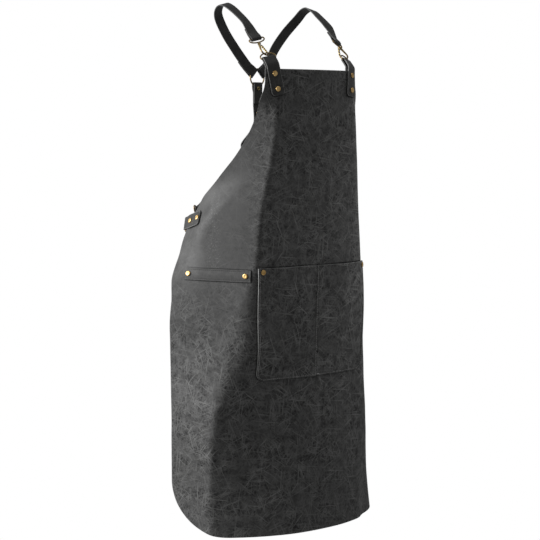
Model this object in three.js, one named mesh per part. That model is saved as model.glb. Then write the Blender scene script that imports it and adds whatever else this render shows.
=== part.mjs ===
// Cross-back work apron in black leather with brass hardware, in the form it takes when worn.
// Millimetres, +Z up. The wearer faces -Y, so +X is the wearer's left and -X the wearer's right.
// The origin lies between the tops of the two shoulder straps, where the shoulders carry the apron.

import * as THREE from 'three';

// Leather body
const BIB_TOP_Z = -124;
const BODY_LENGTH = 860;
const BODY_WALL = 2;
const CORNER_ACROSS = 130;
const CORNER_UP = 100;
const SIDE_TURN_SPAN = 160;
const CURL_FROM_EDGE = 80;
const CURL_SPAN = 44;
const SECTION_STEP = 2;
const SECTION_REACH = 372;
const SIDE_TURN_LIMIT = 1.3;

// Pocket and side strip
const PANEL_WALL = 1.8;
const SEAM_GAP = 0.6;
const POCKET_TOP = 360;
const POCKET_BOTTOM = 568;
const POCKET_HALF_TOP = 138;
const POCKET_HALF_BOTTOM = 132;
const POCKET_CORNER = 16;
const POCKET_GAPE = 2.4;
const STRIP_FRONT = 150.5;
const STRIP_BACK = 285.5;
const STRIP_TOP = 363.5;
const STRIP_BOTTOM = 385;
const STRIP_BEND = 24;

// Straps and tabs
const CLEAR = 0.35;
const STRAP_WIDTH = 20;
const STRAP_WALL = 2.2;
const TAB_WIDTH = 25;
const TAB_CORNER = 7;
const TAB_CORNER_ROWS = [0, 0.09, 0.35, 1];
const TAB_LEG_ROWS = [0.45, 0.75, 1];
const TAB_GAP = 0.8;
const TAB_BACK_GAP = 1.1;
const LOOP_TAPER = 13;
const RING_SLACK = 5.2;
const BAR_SLACK = 1.6;
const HOOK_END_TAIL = 27;
const RING_END_TAIL = 37;
const RING_APPROACH = 22;
const BACK_DROP = 78;
const BACK_RISE = 43;
const LOWER_RING_APPROACH = 39;
const SHOULDER_HOOK_APPROACH = 14;
const WAIST_HOOK_APPROACH = 29;
const RING_BITE = 0.5;
const TAB_FLATTEN = 8;
const SPINE_STEP = 0.5;
const FOLD_STEPS = 6;
const SHOULDER_STEPS = 19;
const WAIST_STEPS = 8;
const BACK_STEPS = 14;

// Brass hardware
const WIRE = 1.3;
const RING_WIRE = 1.4;
const RING_RADIUS = 16.6;
const D_HALF_WIDTH = 15.2;
const D_BOW_HEIGHT = 12.4;
const D_CORNER_HEIGHT = 3;
const D_SLIDE = 10;
const D_BAR_SHARE = 0.85;
const D_CORNER_SHARE = 0.97;
const D_CORNER_RISE = 0.3;
const D_BOW_ANGLES = [0, 26, 49, 70];
const EYE_DEPTH = 9.5;
const HOOK_WIRE = 1.55;
const SHOULDER_HOOK_TURN = 31;
const WAIST_HOOK_TURN = 75;
const BARREL_TOP = 30;

// Turned profiles: r is the radius and h the height over the leather
const RIVET_PROFILE = [
  { r: 0, h: 0 },
  { r: 4.75, h: 0 },
  { r: 4.75, h: 0.7 },
  { r: 3.2, h: 2 },
  { r: 0, h: 2.4 },
];
const EYELET_PROFILE = [
  { r: 1.3, h: 0 },
  { r: 3.7, h: 0 },
  { r: 3.2, h: 0.9 },
  { r: 1.7, h: 0.9 },
  { r: 1.3, h: 0 },
];
const TURNED_SIDES = 10;
const WIRE_SIDES = 6;
const HOOK_SIDES = 8;
const RING_STEPS = 20;

// Places on the wearer's right, read from the photograph. The left side mirrors them.
// A tab's seat is the room between its D-ring's bow and the hook.
const SHOULDER_TAB = { s: 96.4, drop: 0, lean: 10.3, front: 49, back: 46, reach: 23.5, tilt: 37, seat: 0.35 };
const WAIST_TAB = { s: 308, drop: 281.5, lean: 104, front: 44, back: 40, reach: 16, tilt: 0, seat: 0.5 };
const TAB_RIVETS = [9, 37];
const UPPER_RING = { x: 0, y: 74, z: -134.5 };
const LOWER_RING = { x: 0, y: 112, z: -318 };
const STRAP_FAN = 48.5;
const POCKET_RIVET = { s: 128, drop: 367 };
const STRIP_RIVETS = [160.5, 279];
const BACK_EYELET = 8;
const BACK_RIVET = 56;

// The centre front's depth, against the drop below the bib's top edge
const FRONT_DEPTH = [
  { drop: 0, y: -100 },
  { drop: 60, y: -103 },
  { drop: 150, y: -105 },
  { drop: 360, y: -106 },
  { drop: 480, y: -102 },
  { drop: 600, y: -97 },
  { drop: 720, y: -102 },
  { drop: 860, y: -107 },
];

// The soft fold between front and side: its distance from the centre front and its half width in
// millimetres of leather, then the degrees turned over the front, in the fold and along the side.
const RIGHT_FOLD = [
  { drop: 0, at: 96, half: 28, front: 9, turn: 10, side: 4 },
  { drop: 45, at: 94, half: 26, front: 8, turn: 20, side: 4 },
  { drop: 80, at: 93, half: 16, front: 8, turn: 46, side: 4 },
  { drop: 150, at: 103, half: 14, front: 8, turn: 52, side: 4 },
  { drop: 260, at: 130, half: 11, front: 8, turn: 54, side: 6 },
  { drop: 360, at: 141, half: 10, front: 9, turn: 54, side: 6 },
  { drop: 480, at: 166, half: 34, front: 13, turn: 52, side: 6 },
  { drop: 560, at: 190, half: 28, front: 19, turn: 52, side: 6 },
  { drop: 640, at: 208, half: 18, front: 26, turn: 48, side: 6 },
  { drop: 720, at: 215, half: 18, front: 33, turn: 43, side: 6 },
  { drop: 860, at: 214, half: 20, front: 44, turn: 34, side: 6 },
];
const LEFT_FOLD = [
  { drop: 0, at: 96, half: 28, front: 12, turn: 18, side: 4 },
  { drop: 45, at: 98, half: 26, front: 8, turn: 32, side: 4 },
  { drop: 80, at: 102, half: 20, front: 8, turn: 46, side: 4 },
  { drop: 150, at: 106, half: 16, front: 8, turn: 50, side: 4 },
  { drop: 260, at: 115, half: 18, front: 12, turn: 52, side: 6 },
  { drop: 360, at: 128, half: 20, front: 15, turn: 50, side: 6 },
  { drop: 480, at: 142, half: 20, front: 17, turn: 48, side: 6 },
  { drop: 600, at: 157, half: 22, front: 20, turn: 44, side: 6 },
  { drop: 720, at: 175, half: 24, front: 26, turn: 40, side: 6 },
  { drop: 860, at: 216, half: 20, front: 33, turn: 34, side: 6 },
];

// A drape fold near the hem on the wearer's left
const HEM_FOLD = { at: 140, width: 18, turn: 15, start: 640, full: 820 };

// Half width of the cut leather, measured along it
const CUT_LINE = [
  { drop: 0, half: 112 },
  { drop: 25, half: 113 },
  { drop: 60, half: 124 },
  { drop: 90, half: 135.4 },
  { drop: 120, half: 151.3 },
  { drop: 160, half: 180 },
  { drop: 200, half: 220 },
  { drop: 240, half: 269 },
  { drop: 280, half: 308 },
  { drop: 313, half: 320 },
  { drop: 340, half: 316 },
  { drop: 385, half: 315.5 },
  { drop: 430, half: 310 },
  { drop: 860, half: 311 },
];

// Degrees by which the waist corners are drawn in by the back straps
const WAIST_CURL = [
  { drop: 0, turn: 0 },
  { drop: 170, turn: 0 },
  { drop: 225, turn: 16 },
  { drop: 270, turn: 36 },
  { drop: 300, turn: 36 },
  { drop: 340, turn: 20 },
  { drop: 390, turn: 0 },
  { drop: 860, turn: 0 },
];

// Rows of the body's mesh: stretches of the drop, then shares of the bottom corner's height
const BODY_ROWS = [
  { from: 0, to: 48, steps: 3 },
  { from: 48, to: 250, steps: 7 },
  { from: 250, to: 310, steps: 4 },
  { from: 310, to: 400, steps: 3 },
  { from: 400, to: BODY_LENGTH - CORNER_UP, steps: 7 },
];
const HEM_ROWS = [0, 0.25, 0.45, 0.62, 0.76, 0.87, 0.95, 0.985, 1];

// Where the fold's columns may lie at most, and the curl's, as shares of the way to the edge
const FOLD_WITHIN = { start: 0.7, end: 0.9 };
const CURL_WITHIN = { start: 0.55, end: 0.84 };

// Columns of the pocket's mesh, as shares of its half width
const POCKET_COLUMNS = [
  { from: -1, to: -0.8, steps: 2 },
  { from: -0.8, to: 0.7, steps: 8 },
  { from: 0.7, to: 1, steps: 4 },
];
const POCKET_HEM_ROWS = [0, 0.5, 0.8, 0.95, 1];

// Points of the straps between hook and ring, with the direction of the strap's width
const SHOULDER_ROUTE = [
  { x: 100, y: -19, z: -39, wx: 1, wy: 0, wz: 0 },
  { x: 101, y: 8, z: -19, wx: 1, wy: 0.05, wz: -0.05 },
  { x: 103, y: 30, z: -5.5, wx: 1, wy: 0.15, wz: -0.1 },
  { x: 104, y: 45, z: -1.5, wx: 0.95, wy: 0.2, wz: -0.25 },
  { x: 103, y: 58, z: -6, wx: 0.9, wy: 0.15, wz: -0.4 },
  { x: 98, y: 69, z: -19, wx: 0.85, wy: 0.05, wz: -0.5 },
  { x: 74, y: 80, z: -49, wx: 0.78, wy: 0, wz: -0.62 },
  { x: 48, y: 81, z: -81, wx: 0.76, wy: 0, wz: -0.65 },
];
const WAIST_ROUTE = {
  right: { x: -90, y: 116, z: -368, wx: -0.45, wy: 0, wz: 0.89 },
  left: { x: 62, y: 118, z: -370, wx: 0.62, wy: 0, wz: 0.78 },
};

// Snap hook: a pear loop on a swivel barrel, and the spring gate that closes it.
// a runs across the loop, b up from its lowest wire, and r is the radius there.
const HOOK_BODY = [
  { a: 0, b: BARREL_TOP, r: 2.6 },
  { a: 0, b: BARREL_TOP - 1.1, r: 3.2 },
  { a: -0.3, b: 27.4, r: 3 },
  { a: -2.2, b: 25, r: 2.2 },
  { a: -5.4, b: 17, r: 1.75 },
  { a: -8, b: 9.6, r: HOOK_WIRE },
  { a: -8, b: 5.4, r: HOOK_WIRE },
  { a: -6, b: 1.9, r: HOOK_WIRE },
  { a: -3, b: 0.2, r: HOOK_WIRE },
  { a: 0, b: 0, r: HOOK_WIRE },
  { a: 3, b: 0.2, r: HOOK_WIRE },
  { a: 6, b: 1.9, r: HOOK_WIRE },
  { a: 8, b: 5.4, r: HOOK_WIRE },
  { a: 8.1, b: 8.3, r: HOOK_WIRE },
];
const HOOK_GATE = [
  { a: 8, b: 9.35, r: 1.3 },
  { a: 7.75, b: 10.2, r: 1.6 },
  { a: 5.6, b: 17, r: 1.75 },
  { a: 3.2, b: 24.6, r: 1.75 },
  { a: 2.95, b: 25.7, r: 1.3 },
];

const LEATHER = new THREE.MeshStandardMaterial({ color: 0x2c2c2b, roughness: 0.72, metalness: 0 });
const STRAP_LEATHER = new THREE.MeshStandardMaterial({ color: 0x232323, roughness: 0.6, metalness: 0 });
const BRASS = new THREE.MeshStandardMaterial({ color: 0x8f713a, roughness: 0.38, metalness: 1 });

const apron = new THREE.Group();
const SIDES = [
  { name: 'right', sign: -1 },
  { name: 'left', sign: 1 },
];

const vector = (x, y, z) => new THREE.Vector3(x, y, z);
const radians = THREE.MathUtils.degToRad;
const mix = THREE.MathUtils.lerp;

function along(origin, direction, distance) {
  return origin.clone().addScaledVector(direction, distance);
}

function smooth(t) {
  return THREE.MathUtils.smoothstep(t, 0, 1);
}

function addPiece(name, geometry, material) {
  const mesh = new THREE.Mesh(geometry, material);
  mesh.name = name;
  apron.add(mesh);
  return mesh;
}

// A smooth curve through a table's column that never overshoots its rows
function lookUp(table, column, drop) {
  const last = table.length - 1;
  const x = THREE.MathUtils.clamp(drop, table[0].drop, table[last].drop);
  let i = 0;
  while (i < last - 1 && x > table[i + 1].drop) i += 1;
  const span = (k) => table[k + 1].drop - table[k].drop;
  const rise = (k) => (table[k + 1][column] - table[k][column]) / span(k);
  const slope = (k) => {
    if (k === 0) return rise(0);
    if (k === last) return rise(last - 1);
    if (rise(k - 1) * rise(k) <= 0) return 0;
    const before = 2 * span(k) + span(k - 1);
    const after = span(k) + 2 * span(k - 1);
    return (before + after) / (before / rise(k - 1) + after / rise(k));
  };
  const t = (x - table[i].drop) / span(i);
  const u = 1 - t;
  const values = (1 + 2 * t) * u * u * table[i][column] + t * t * (3 - 2 * t) * table[i + 1][column];
  const slopes = t * u * u * slope(i) - t * t * u * slope(i + 1);
  return values + span(i) * slopes;
}

// Half width of the leather at a height, with the rounded bottom corner taken off
function cutHalf(drop) {
  const up = (drop - (BODY_LENGTH - CORNER_UP)) / CORNER_UP;
  const corner = up > 0 ? CORNER_ACROSS * (1 - Math.sqrt(Math.max(0, 1 - up * up))) : 0;
  return lookUp(CUT_LINE, 'half', drop) - corner;
}

// The level curve of one side of the apron, from the centre front outwards
const sections = new Map();
function section(sign, drop) {
  const key = `${sign} ${drop.toFixed(3)}`;
  if (sections.has(key)) return sections.get(key);
  const table = sign < 0 ? RIGHT_FOLD : LEFT_FOLD;
  const at = lookUp(table, 'at', drop);
  const half = lookUp(table, 'half', drop);
  const front = lookUp(table, 'front', drop);
  const turn = lookUp(table, 'turn', drop);
  const side = lookUp(table, 'side', drop);
  const curl = lookUp(WAIST_CURL, 'turn', drop);
  const curlFrom = lookUp(CUT_LINE, 'half', drop) - CURL_FROM_EDGE;
  const drape = sign > 0 ? smooth((drop - HEM_FOLD.start) / (HEM_FOLD.full - HEM_FOLD.start)) : 0;
  const heading = (s) => {
    const inFold = turn * smooth((s - at + half) / (2 * half));
    const onSide = side * THREE.MathUtils.clamp((s - at) / SIDE_TURN_SPAN, 0, SIDE_TURN_LIMIT);
    const inCurl = curl * smooth((s - curlFrom) / CURL_SPAN);
    const inDrape = drape * HEM_FOLD.turn * Math.exp(-(((s - HEM_FOLD.at) / HEM_FOLD.width) ** 2));
    return radians(front * Math.min(s / at, 1) + inFold + onSide + inCurl + inDrape);
  };
  const curve = { x: [0], y: [lookUp(FRONT_DEPTH, 'y', drop)] };
  for (let s = SECTION_STEP; s <= SECTION_REACH; s += SECTION_STEP) {
    const angle = heading(s - SECTION_STEP / 2);
    curve.x.push(curve.x.at(-1) + SECTION_STEP * Math.cos(angle));
    curve.y.push(curve.y.at(-1) + SECTION_STEP * Math.sin(angle));
  }
  sections.set(key, curve);
  return curve;
}

// A point of the leather's outer face: s is the distance round from the centre front
function facePoint(s, drop) {
  const sign = s < 0 ? -1 : 1;
  const curve = section(sign, drop);
  const step = Math.min(Math.abs(s) / SECTION_STEP, curve.x.length - 1.001);
  const i = Math.floor(step);
  const x = mix(curve.x[i], curve.x[i + 1], step - i);
  const y = mix(curve.y[i], curve.y[i + 1], step - i);
  return vector(sign * x, y, BIB_TOP_Z - drop);
}

function faceNormal(s, drop) {
  const across = facePoint(s + 1, drop).sub(facePoint(s - 1, drop));
  const down = facePoint(s, drop + 1).sub(facePoint(s, drop - 1));
  return down.cross(across).normalize();
}

function offFace(s, drop, height) {
  return along(facePoint(s, drop), faceNormal(s, drop), height);
}

// A closed solid from points and triangles, turned so that its faces point out
function solid(points, triangles) {
  let volume = 0;
  for (let i = 0; i < triangles.length; i += 3) {
    const [a, b, c] = triangles.slice(i, i + 3).map((k) => points[k]);
    volume += a.dot(b.clone().cross(c));
  }
  const outward = volume > 0 ? triangles : triangles.slice().reverse();
  const geometry = new THREE.BufferGeometry();
  geometry.setFromPoints(points);
  geometry.setIndex(outward);
  geometry.computeVertexNormals();
  return geometry;
}

// A sheet with two faces: each row holds the points of its outer and its inner face
function sheetSolid(rows) {
  const across = rows[0].outer.length;
  const last = rows.length - 1;
  const edge = across - 1;
  const points = rows.flatMap((row) => [...row.outer, ...row.inner]);
  const at = (i, j, face) => (2 * i + face) * across + j;
  const triangles = [];
  const quad = (a, b, c, d) => triangles.push(a, b, c, a, c, d);
  for (let i = 0; i < last; i += 1) {
    for (let j = 0; j < edge; j += 1) {
      quad(at(i, j, 0), at(i, j + 1, 0), at(i + 1, j + 1, 0), at(i + 1, j, 0));
      quad(at(i, j, 1), at(i + 1, j, 1), at(i + 1, j + 1, 1), at(i, j + 1, 1));
    }
    quad(at(i, 0, 0), at(i + 1, 0, 0), at(i + 1, 0, 1), at(i, 0, 1));
    quad(at(i, edge, 0), at(i, edge, 1), at(i + 1, edge, 1), at(i + 1, edge, 0));
  }
  for (let j = 0; j < edge; j += 1) {
    quad(at(0, j, 0), at(0, j, 1), at(0, j + 1, 1), at(0, j + 1, 0));
    quad(at(last, j, 0), at(last, j + 1, 0), at(last, j + 1, 1), at(last, j, 1));
  }
  return solid(points, triangles);
}

// A round wire along a flat path. Each station has its place a, b in the frame and its radius r.
function wireSolid(stations, frame, sides, closed) {
  const count = stations.length;
  const place = (k) => {
    const station = stations[(k + count) % count];
    return along(along(frame.origin, frame.across, station.a), frame.axis, station.b);
  };
  const points = [];
  for (let k = 0; k < count; k += 1) {
    const before = closed || k > 0 ? place(k - 1) : place(k);
    const after = closed || k < count - 1 ? place(k + 1) : place(k);
    const outward = after.sub(before).normalize().cross(frame.normal);
    for (let i = 0; i < sides; i += 1) {
      const angle = (2 * Math.PI * i) / sides;
      const rim = along(place(k), outward, stations[k].r * Math.cos(angle));
      points.push(along(rim, frame.normal, stations[k].r * Math.sin(angle)));
    }
  }
  const at = (k, i) => (k % count) * sides + (i % sides);
  const triangles = [];
  for (let k = 0; k < (closed ? count : count - 1); k += 1) {
    for (let i = 0; i < sides; i += 1) {
      triangles.push(at(k, i), at(k, i + 1), at(k + 1, i + 1));
      triangles.push(at(k, i), at(k + 1, i + 1), at(k + 1, i));
    }
  }
  if (!closed) {
    points.push(place(0), place(count - 1));
    const ends = points.length - 2;
    for (let i = 0; i < sides; i += 1) {
      triangles.push(ends, at(0, i + 1), at(0, i));
      triangles.push(ends + 1, at(count - 1, i), at(count - 1, i + 1));
    }
  }
  return solid(points, triangles);
}

// The part of a direction that is square to a unit vector
function squareTo(fixed, direction) {
  return direction.clone().addScaledVector(fixed, -direction.dot(fixed)).normalize();
}

// A frame for flat wire pieces: across and axis are unit vectors in its plane
function flatFrame(origin, across, axis) {
  return { origin, across, axis, normal: across.clone().cross(axis) };
}

// Values from one end of a stretch up to, and without, the other
function stretch(from, to, count) {
  return Array.from({ length: count }, (_, i) => mix(from, to, i / count));
}

// Leather body: bib and skirt in one piece
function bodyColumns(sign, drop) {
  const table = sign < 0 ? RIGHT_FOLD : LEFT_FOLD;
  const edge = cutHalf(drop);
  const at = lookUp(table, 'at', drop);
  const half = lookUp(table, 'half', drop);
  const foldStart = Math.min(at - half, FOLD_WITHIN.start * edge);
  const foldEnd = Math.min(at + half, FOLD_WITHIN.end * edge);
  const curlStart = mix(foldEnd, edge, CURL_WITHIN.start);
  const curlEnd = mix(foldEnd, edge, CURL_WITHIN.end);
  const front = stretch(0, foldStart, 4);
  const fold = stretch(foldStart, foldEnd, 4);
  const side = stretch(foldEnd, curlStart, 2);
  const curl = stretch(curlStart, curlEnd, 4);
  return [...front, ...fold, ...side, ...curl, curlEnd, edge];
}

function bodySolid() {
  const upper = BODY_ROWS.flatMap(({ from, to, steps }) => stretch(from, to, steps));
  const hem = HEM_ROWS.map((share) => BODY_LENGTH - CORNER_UP * (1 - share));
  const rows = [...upper, ...hem].map((drop) => {
    const right = bodyColumns(-1, drop).slice(1).reverse().map((s) => -s);
    const columns = [...right, ...bodyColumns(1, drop)];
    return {
      outer: columns.map((s) => facePoint(s, drop)),
      inner: columns.map((s) => offFace(s, drop, -BODY_WALL)),
    };
  });
  return sheetSolid(rows);
}

// Front pocket: a patch sewn on at its sides, bottom and middle, open along its top edge
function pocketHalf(drop) {
  const down = (drop - POCKET_TOP) / (POCKET_BOTTOM - POCKET_TOP);
  const round = Math.max(0, drop - (POCKET_BOTTOM - POCKET_CORNER));
  const corner = POCKET_CORNER - Math.sqrt(POCKET_CORNER ** 2 - round ** 2);
  return mix(POCKET_HALF_TOP, POCKET_HALF_BOTTOM, down) - corner;
}

function pocketLift(share, drop) {
  const down = (drop - POCKET_TOP) / (POCKET_BOTTOM - POCKET_TOP);
  return SEAM_GAP + POCKET_GAPE * Math.sin(Math.PI * share) ** 2 * (1 - down) ** 1.5;
}

function pocketSolid() {
  const shares = [...POCKET_COLUMNS.flatMap(({ from, to, steps }) => stretch(from, to, steps)), 1];
  const hem = POCKET_HEM_ROWS.map((share) => POCKET_BOTTOM - POCKET_CORNER * (1 - share));
  const drops = stretch(POCKET_TOP, POCKET_BOTTOM - POCKET_CORNER, 6);
  const rows = [...drops, ...hem].map((drop) => {
    const place = (share, rise) => offFace(share * pocketHalf(drop), drop, pocketLift(share, drop) + rise);
    return {
      outer: shares.map((share) => place(share, PANEL_WALL)),
      inner: shares.map((share) => place(share, 0)),
    };
  });
  return sheetSolid(rows);
}

// Side strip on the wearer's right: a flat leather loop riveted at both ends
function stripSolid() {
  const bend = stretch(STRIP_FRONT, STRIP_FRONT + STRIP_BEND, 4);
  const columns = [...bend, ...stretch(STRIP_FRONT + STRIP_BEND, STRIP_BACK, 6), STRIP_BACK];
  const rows = [STRIP_TOP, STRIP_BOTTOM].map((drop) => ({
    outer: columns.map((s) => offFace(-s, drop, SEAM_GAP + PANEL_WALL)),
    inner: columns.map((s) => offFace(-s, drop, SEAM_GAP)),
  }));
  return sheetSolid(rows);
}

// Rivets and the eyelet are turned shapes seated on a face
function addTurned(name, profile, point, normal) {
  const outline = profile.map(({ r, h }) => new THREE.Vector2(r, h));
  const mesh = addPiece(name, new THREE.LatheGeometry(outline, TURNED_SIDES), BRASS);
  mesh.position.copy(along(point, normal, CLEAR));
  mesh.quaternion.setFromUnitVectors(vector(0, 1, 0), normal.clone().normalize());
}

// A tab is a leather strip folded over a D-ring's bar, with one leg on each face of the body.
// Along it, a is the distance past the body's edge; w runs across it and h lifts off the outer face.
function tabPlan(tab, sign) {
  const lean = radians(tab.lean);
  const heading = { s: sign * Math.sin(lean), drop: -Math.cos(lean) };
  const width = { s: -sign * Math.cos(lean), drop: -Math.sin(lean) };
  const spot = (a, w) => [
    sign * tab.s + a * heading.s + w * width.s,
    tab.drop + a * heading.drop + w * width.drop,
  ];
  const edge = facePoint(...spot(0, 0));
  const normal = faceNormal(...spot(0, 0));
  const tangent = squareTo(normal, facePoint(...spot(0.5, 0)).sub(facePoint(...spot(-0.5, 0))));
  const level = squareTo(normal, facePoint(...spot(0, 0.5)).sub(facePoint(...spot(0, -0.5))));
  const spine = [{ point: edge, tangent, normal }];
  for (let a = SPINE_STEP; a <= tab.reach + TAB_WIDTH; a += SPINE_STEP) {
    const bend = radians(tab.tilt * smooth(a / (0.6 * tab.reach)));
    const forward = along(tangent.clone().multiplyScalar(Math.cos(bend)), normal, -Math.sin(bend));
    const lift = along(normal.clone().multiplyScalar(Math.cos(bend)), tangent, Math.sin(bend));
    spine.push({ point: along(spine.at(-1).point, forward, SPINE_STEP), tangent: forward, normal: lift });
  }
  const place = (a, w, h) => {
    if (a <= 0) return offFace(...spot(a, w), h);
    const k = Math.floor(a / SPINE_STEP);
    const base = spine[k].point.clone().lerp(spine[k + 1].point, a / SPINE_STEP - k);
    const bow = facePoint(...spot(0, w)).sub(along(edge, level, w));
    base.addScaledVector(level, w).addScaledVector(bow, 1 - smooth(a / TAB_FLATTEN));
    return along(base, spine[k].normal, h);
  };
  const end = spine[Math.round(tab.reach / SPINE_STEP)];
  return { tab, place, spot, level, outward: end.normal, bar: along(end.point, end.normal, -BODY_WALL / 2) };
}

function tabSolid({ tab, place }) {
  const onBody = { 1: TAB_GAP, [-1]: TAB_BACK_GAP };
  const onBar = WIRE + CLEAR + STRAP_WALL / 2;
  const spread = (a, side) => {
    const onLeather = BODY_WALL / 2 + onBody[side] + STRAP_WALL / 2;
    return mix(onLeather, onBar, smooth(a / tab.reach));
  };
  const halfWidth = (inset) => {
    const round = Math.max(0, TAB_CORNER - inset);
    return TAB_WIDTH / 2 - TAB_CORNER + Math.sqrt(TAB_CORNER ** 2 - round ** 2);
  };
  const leg = (length, side) => {
    const rounded = TAB_CORNER_ROWS.map((share) => share * TAB_CORNER);
    const straight = TAB_LEG_ROWS.map((share) => share * length);
    const onFace = [...rounded, ...straight].map((inset) => ({ a: inset - length, half: halfWidth(inset) }));
    const past = stretch(0, tab.reach, 4).slice(1).map((a) => ({ a, half: TAB_WIDTH / 2 }));
    return [...onFace, ...past].map((row) => ({ ...row, h: side * spread(row.a, side), up: [0, side] }));
  };
  const fold = [];
  for (let i = 0; i <= FOLD_STEPS; i += 1) {
    const angle = (Math.PI * i) / FOLD_STEPS;
    const up = [Math.sin(angle), Math.cos(angle)];
    fold.push({ a: tab.reach + onBar * up[0], h: onBar * up[1], up, half: TAB_WIDTH / 2 });
  }
  const line = [...leg(tab.front, 1), ...fold, ...leg(tab.back, -1).reverse()];
  const rows = line.map(({ a, h, up, half }) => {
    const face = (lift) => [-half, 0, half].map((w) => (
      place(a + lift * up[0], w, h + lift * up[1] - BODY_WALL / 2)
    ));
    return { outer: face(STRAP_WALL / 2), inner: face(-STRAP_WALL / 2) };
  });
  return sheetSolid(rows);
}

// D-ring and hook eye share a D path: a straight bar and a bow over it
function dPath(height) {
  const half = [
    { a: D_BAR_SHARE * D_HALF_WIDTH, b: 0 },
    { a: D_CORNER_SHARE * D_HALF_WIDTH, b: D_CORNER_RISE * D_CORNER_HEIGHT },
  ];
  for (const angle of D_BOW_ANGLES) {
    half.push({ a: D_HALF_WIDTH * Math.cos(radians(angle)), b: bowHeight(height, Math.sin(radians(angle))) });
  }
  const mirrored = half.slice().reverse().map(({ a, b }) => ({ a: -a, b }));
  return [...half, { a: 0, b: height }, ...mirrored].map((station) => ({ ...station, r: WIRE }));
}

function bowHeight(height, share) {
  return mix(D_CORNER_HEIGHT, height, share);
}

// A hook slides along the D-ring's bow to where the bow lies square to the pull, or as near as it can
function addHook(place, side, ring, pull, outward, degrees, seat) {
  const bowRise = D_BOW_HEIGHT - D_CORNER_HEIGHT;
  const slope = (pull.dot(ring.across) * D_HALF_WIDTH) / (pull.dot(ring.axis) * bowRise);
  const shift = THREE.MathUtils.clamp((D_HALF_WIDTH * slope) / Math.hypot(1, slope), -D_SLIDE, D_SLIDE);
  const share = Math.sqrt(1 - (shift / D_HALF_WIDTH) ** 2);
  const bow = along(along(ring.origin, ring.across, shift), ring.axis, bowHeight(D_BOW_HEIGHT, share));
  const bowNormal = ring.across.clone().multiplyScalar(shift / D_HALF_WIDTH ** 2);
  bowNormal.addScaledVector(ring.axis, share / (D_HALF_WIDTH * bowRise)).normalize();
  const hang = (WIRE + seat + HOOK_WIRE) / pull.dot(bowNormal);
  const level = squareTo(pull, ring.across);
  const front = squareTo(level, squareTo(pull, outward));
  const turn = radians(degrees);
  const across = along(level.clone().multiplyScalar(Math.cos(turn)), front, -Math.sin(turn));
  const low = along(bow, pull, -hang);
  const loop = flatFrame(low, across, pull);
  addPiece(`${place}_hook_${side}`, wireSolid(HOOK_BODY, loop, HOOK_SIDES, false), BRASS);
  addPiece(`${place}_hook_gate_${side}`, wireSolid(HOOK_GATE, loop, HOOK_SIDES, false), BRASS);
  const bar = along(low, pull, BARREL_TOP + CLEAR + WIRE + EYE_DEPTH);
  const eye = flatFrame(bar, level, pull.clone().negate());
  addPiece(`${place}_hook_eye_${side}`, wireSolid(dPath(EYE_DEPTH), eye, WIRE_SIDES, true), BRASS);
  return { bar, pull, level };
}

// A strap's route through points, each with the direction of the strap's width there
function strapRoute(points, widths, outward) {
  const line = new THREE.CatmullRomCurve3(points, false, 'centripetal');
  line.arcLengthDivisions = 600;
  const length = line.getLength();
  const frame = (u) => {
    const t = line.getUtoTmapping(THREE.MathUtils.clamp(u / length, 0, 1));
    const k = Math.min(Math.floor(t * (points.length - 1)), points.length - 2);
    const tangent = line.getTangent(t);
    const wide = squareTo(tangent, widths[k].clone().lerp(widths[k + 1], t * (points.length - 1) - k));
    const past = u - THREE.MathUtils.clamp(u, 0, length);
    return { point: along(line.getPoint(t), tangent, past), wide, normal: tangent.cross(wide) };
  };
  const flip = Math.sign(frame(0).normal.dot(outward));
  const place = (u, w, v) => {
    const { point, wide, normal } = frame(u);
    return along(along(point, wide, w), normal, flip * v);
  };
  return { length, place };
}

// The fold of a strap's end round a bar: from the tail's end, round the bar, to the strap's own line.
// u runs along the strap from the bar and v lifts off it towards the outward side.
function foldLine({ wire, slack, tail, side }) {
  const round = wire + CLEAR + STRAP_WALL / 2;
  const settle = (u) => smooth((u - slack) / LOOP_TAPER);
  const stops = [0.35, 0.65, 1].map((k) => slack + k * LOOP_TAPER);
  const line = [tail, ...stops.slice().reverse(), slack].map((u) => (
    { u, v: side * mix(round, STRAP_WALL + CLEAR, settle(u)) }
  ));
  for (let i = 0; i <= FOLD_STEPS; i += 1) {
    const angle = (Math.PI * i) / FOLD_STEPS;
    line.push({ u: -round * Math.sin(angle), v: side * round * Math.cos(angle) });
  }
  for (const u of [slack, ...stops]) line.push({ u, v: -side * mix(round, 0, settle(u)) });
  return line;
}

function strapSolid(route, first, last, steps) {
  const begin = foldLine(first);
  const finish = foldLine(last).reverse().map(({ u, v }) => ({ u: route.length - u, v }));
  const middle = stretch(begin.at(-1).u, finish[0].u, steps).slice(1).map((u) => ({ u, v: 0 }));
  const line = [...begin, ...middle, ...finish];
  const rows = line.map(({ u, v }, k) => {
    const before = line[Math.max(k - 1, 0)];
    const after = line[Math.min(k + 1, line.length - 1)];
    const run = Math.hypot(after.u - before.u, after.v - before.v);
    const face = (lift) => [-1, 1].map((side) => route.place(
      u - (lift * (after.v - before.v)) / run,
      (side * STRAP_WIDTH) / 2,
      v + (lift * (after.u - before.u)) / run,
    ));
    return { outer: face(STRAP_WALL / 2), inner: face(-STRAP_WALL / 2) };
  });
  return sheetSolid(rows);
}

function addRing(name, place) {
  const mesh = addPiece(name, new THREE.TorusGeometry(RING_RADIUS, RING_WIRE, WIRE_SIDES, RING_STEPS), BRASS);
  mesh.rotation.x = Math.PI / 2;
  mesh.position.copy(place);
}

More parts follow.
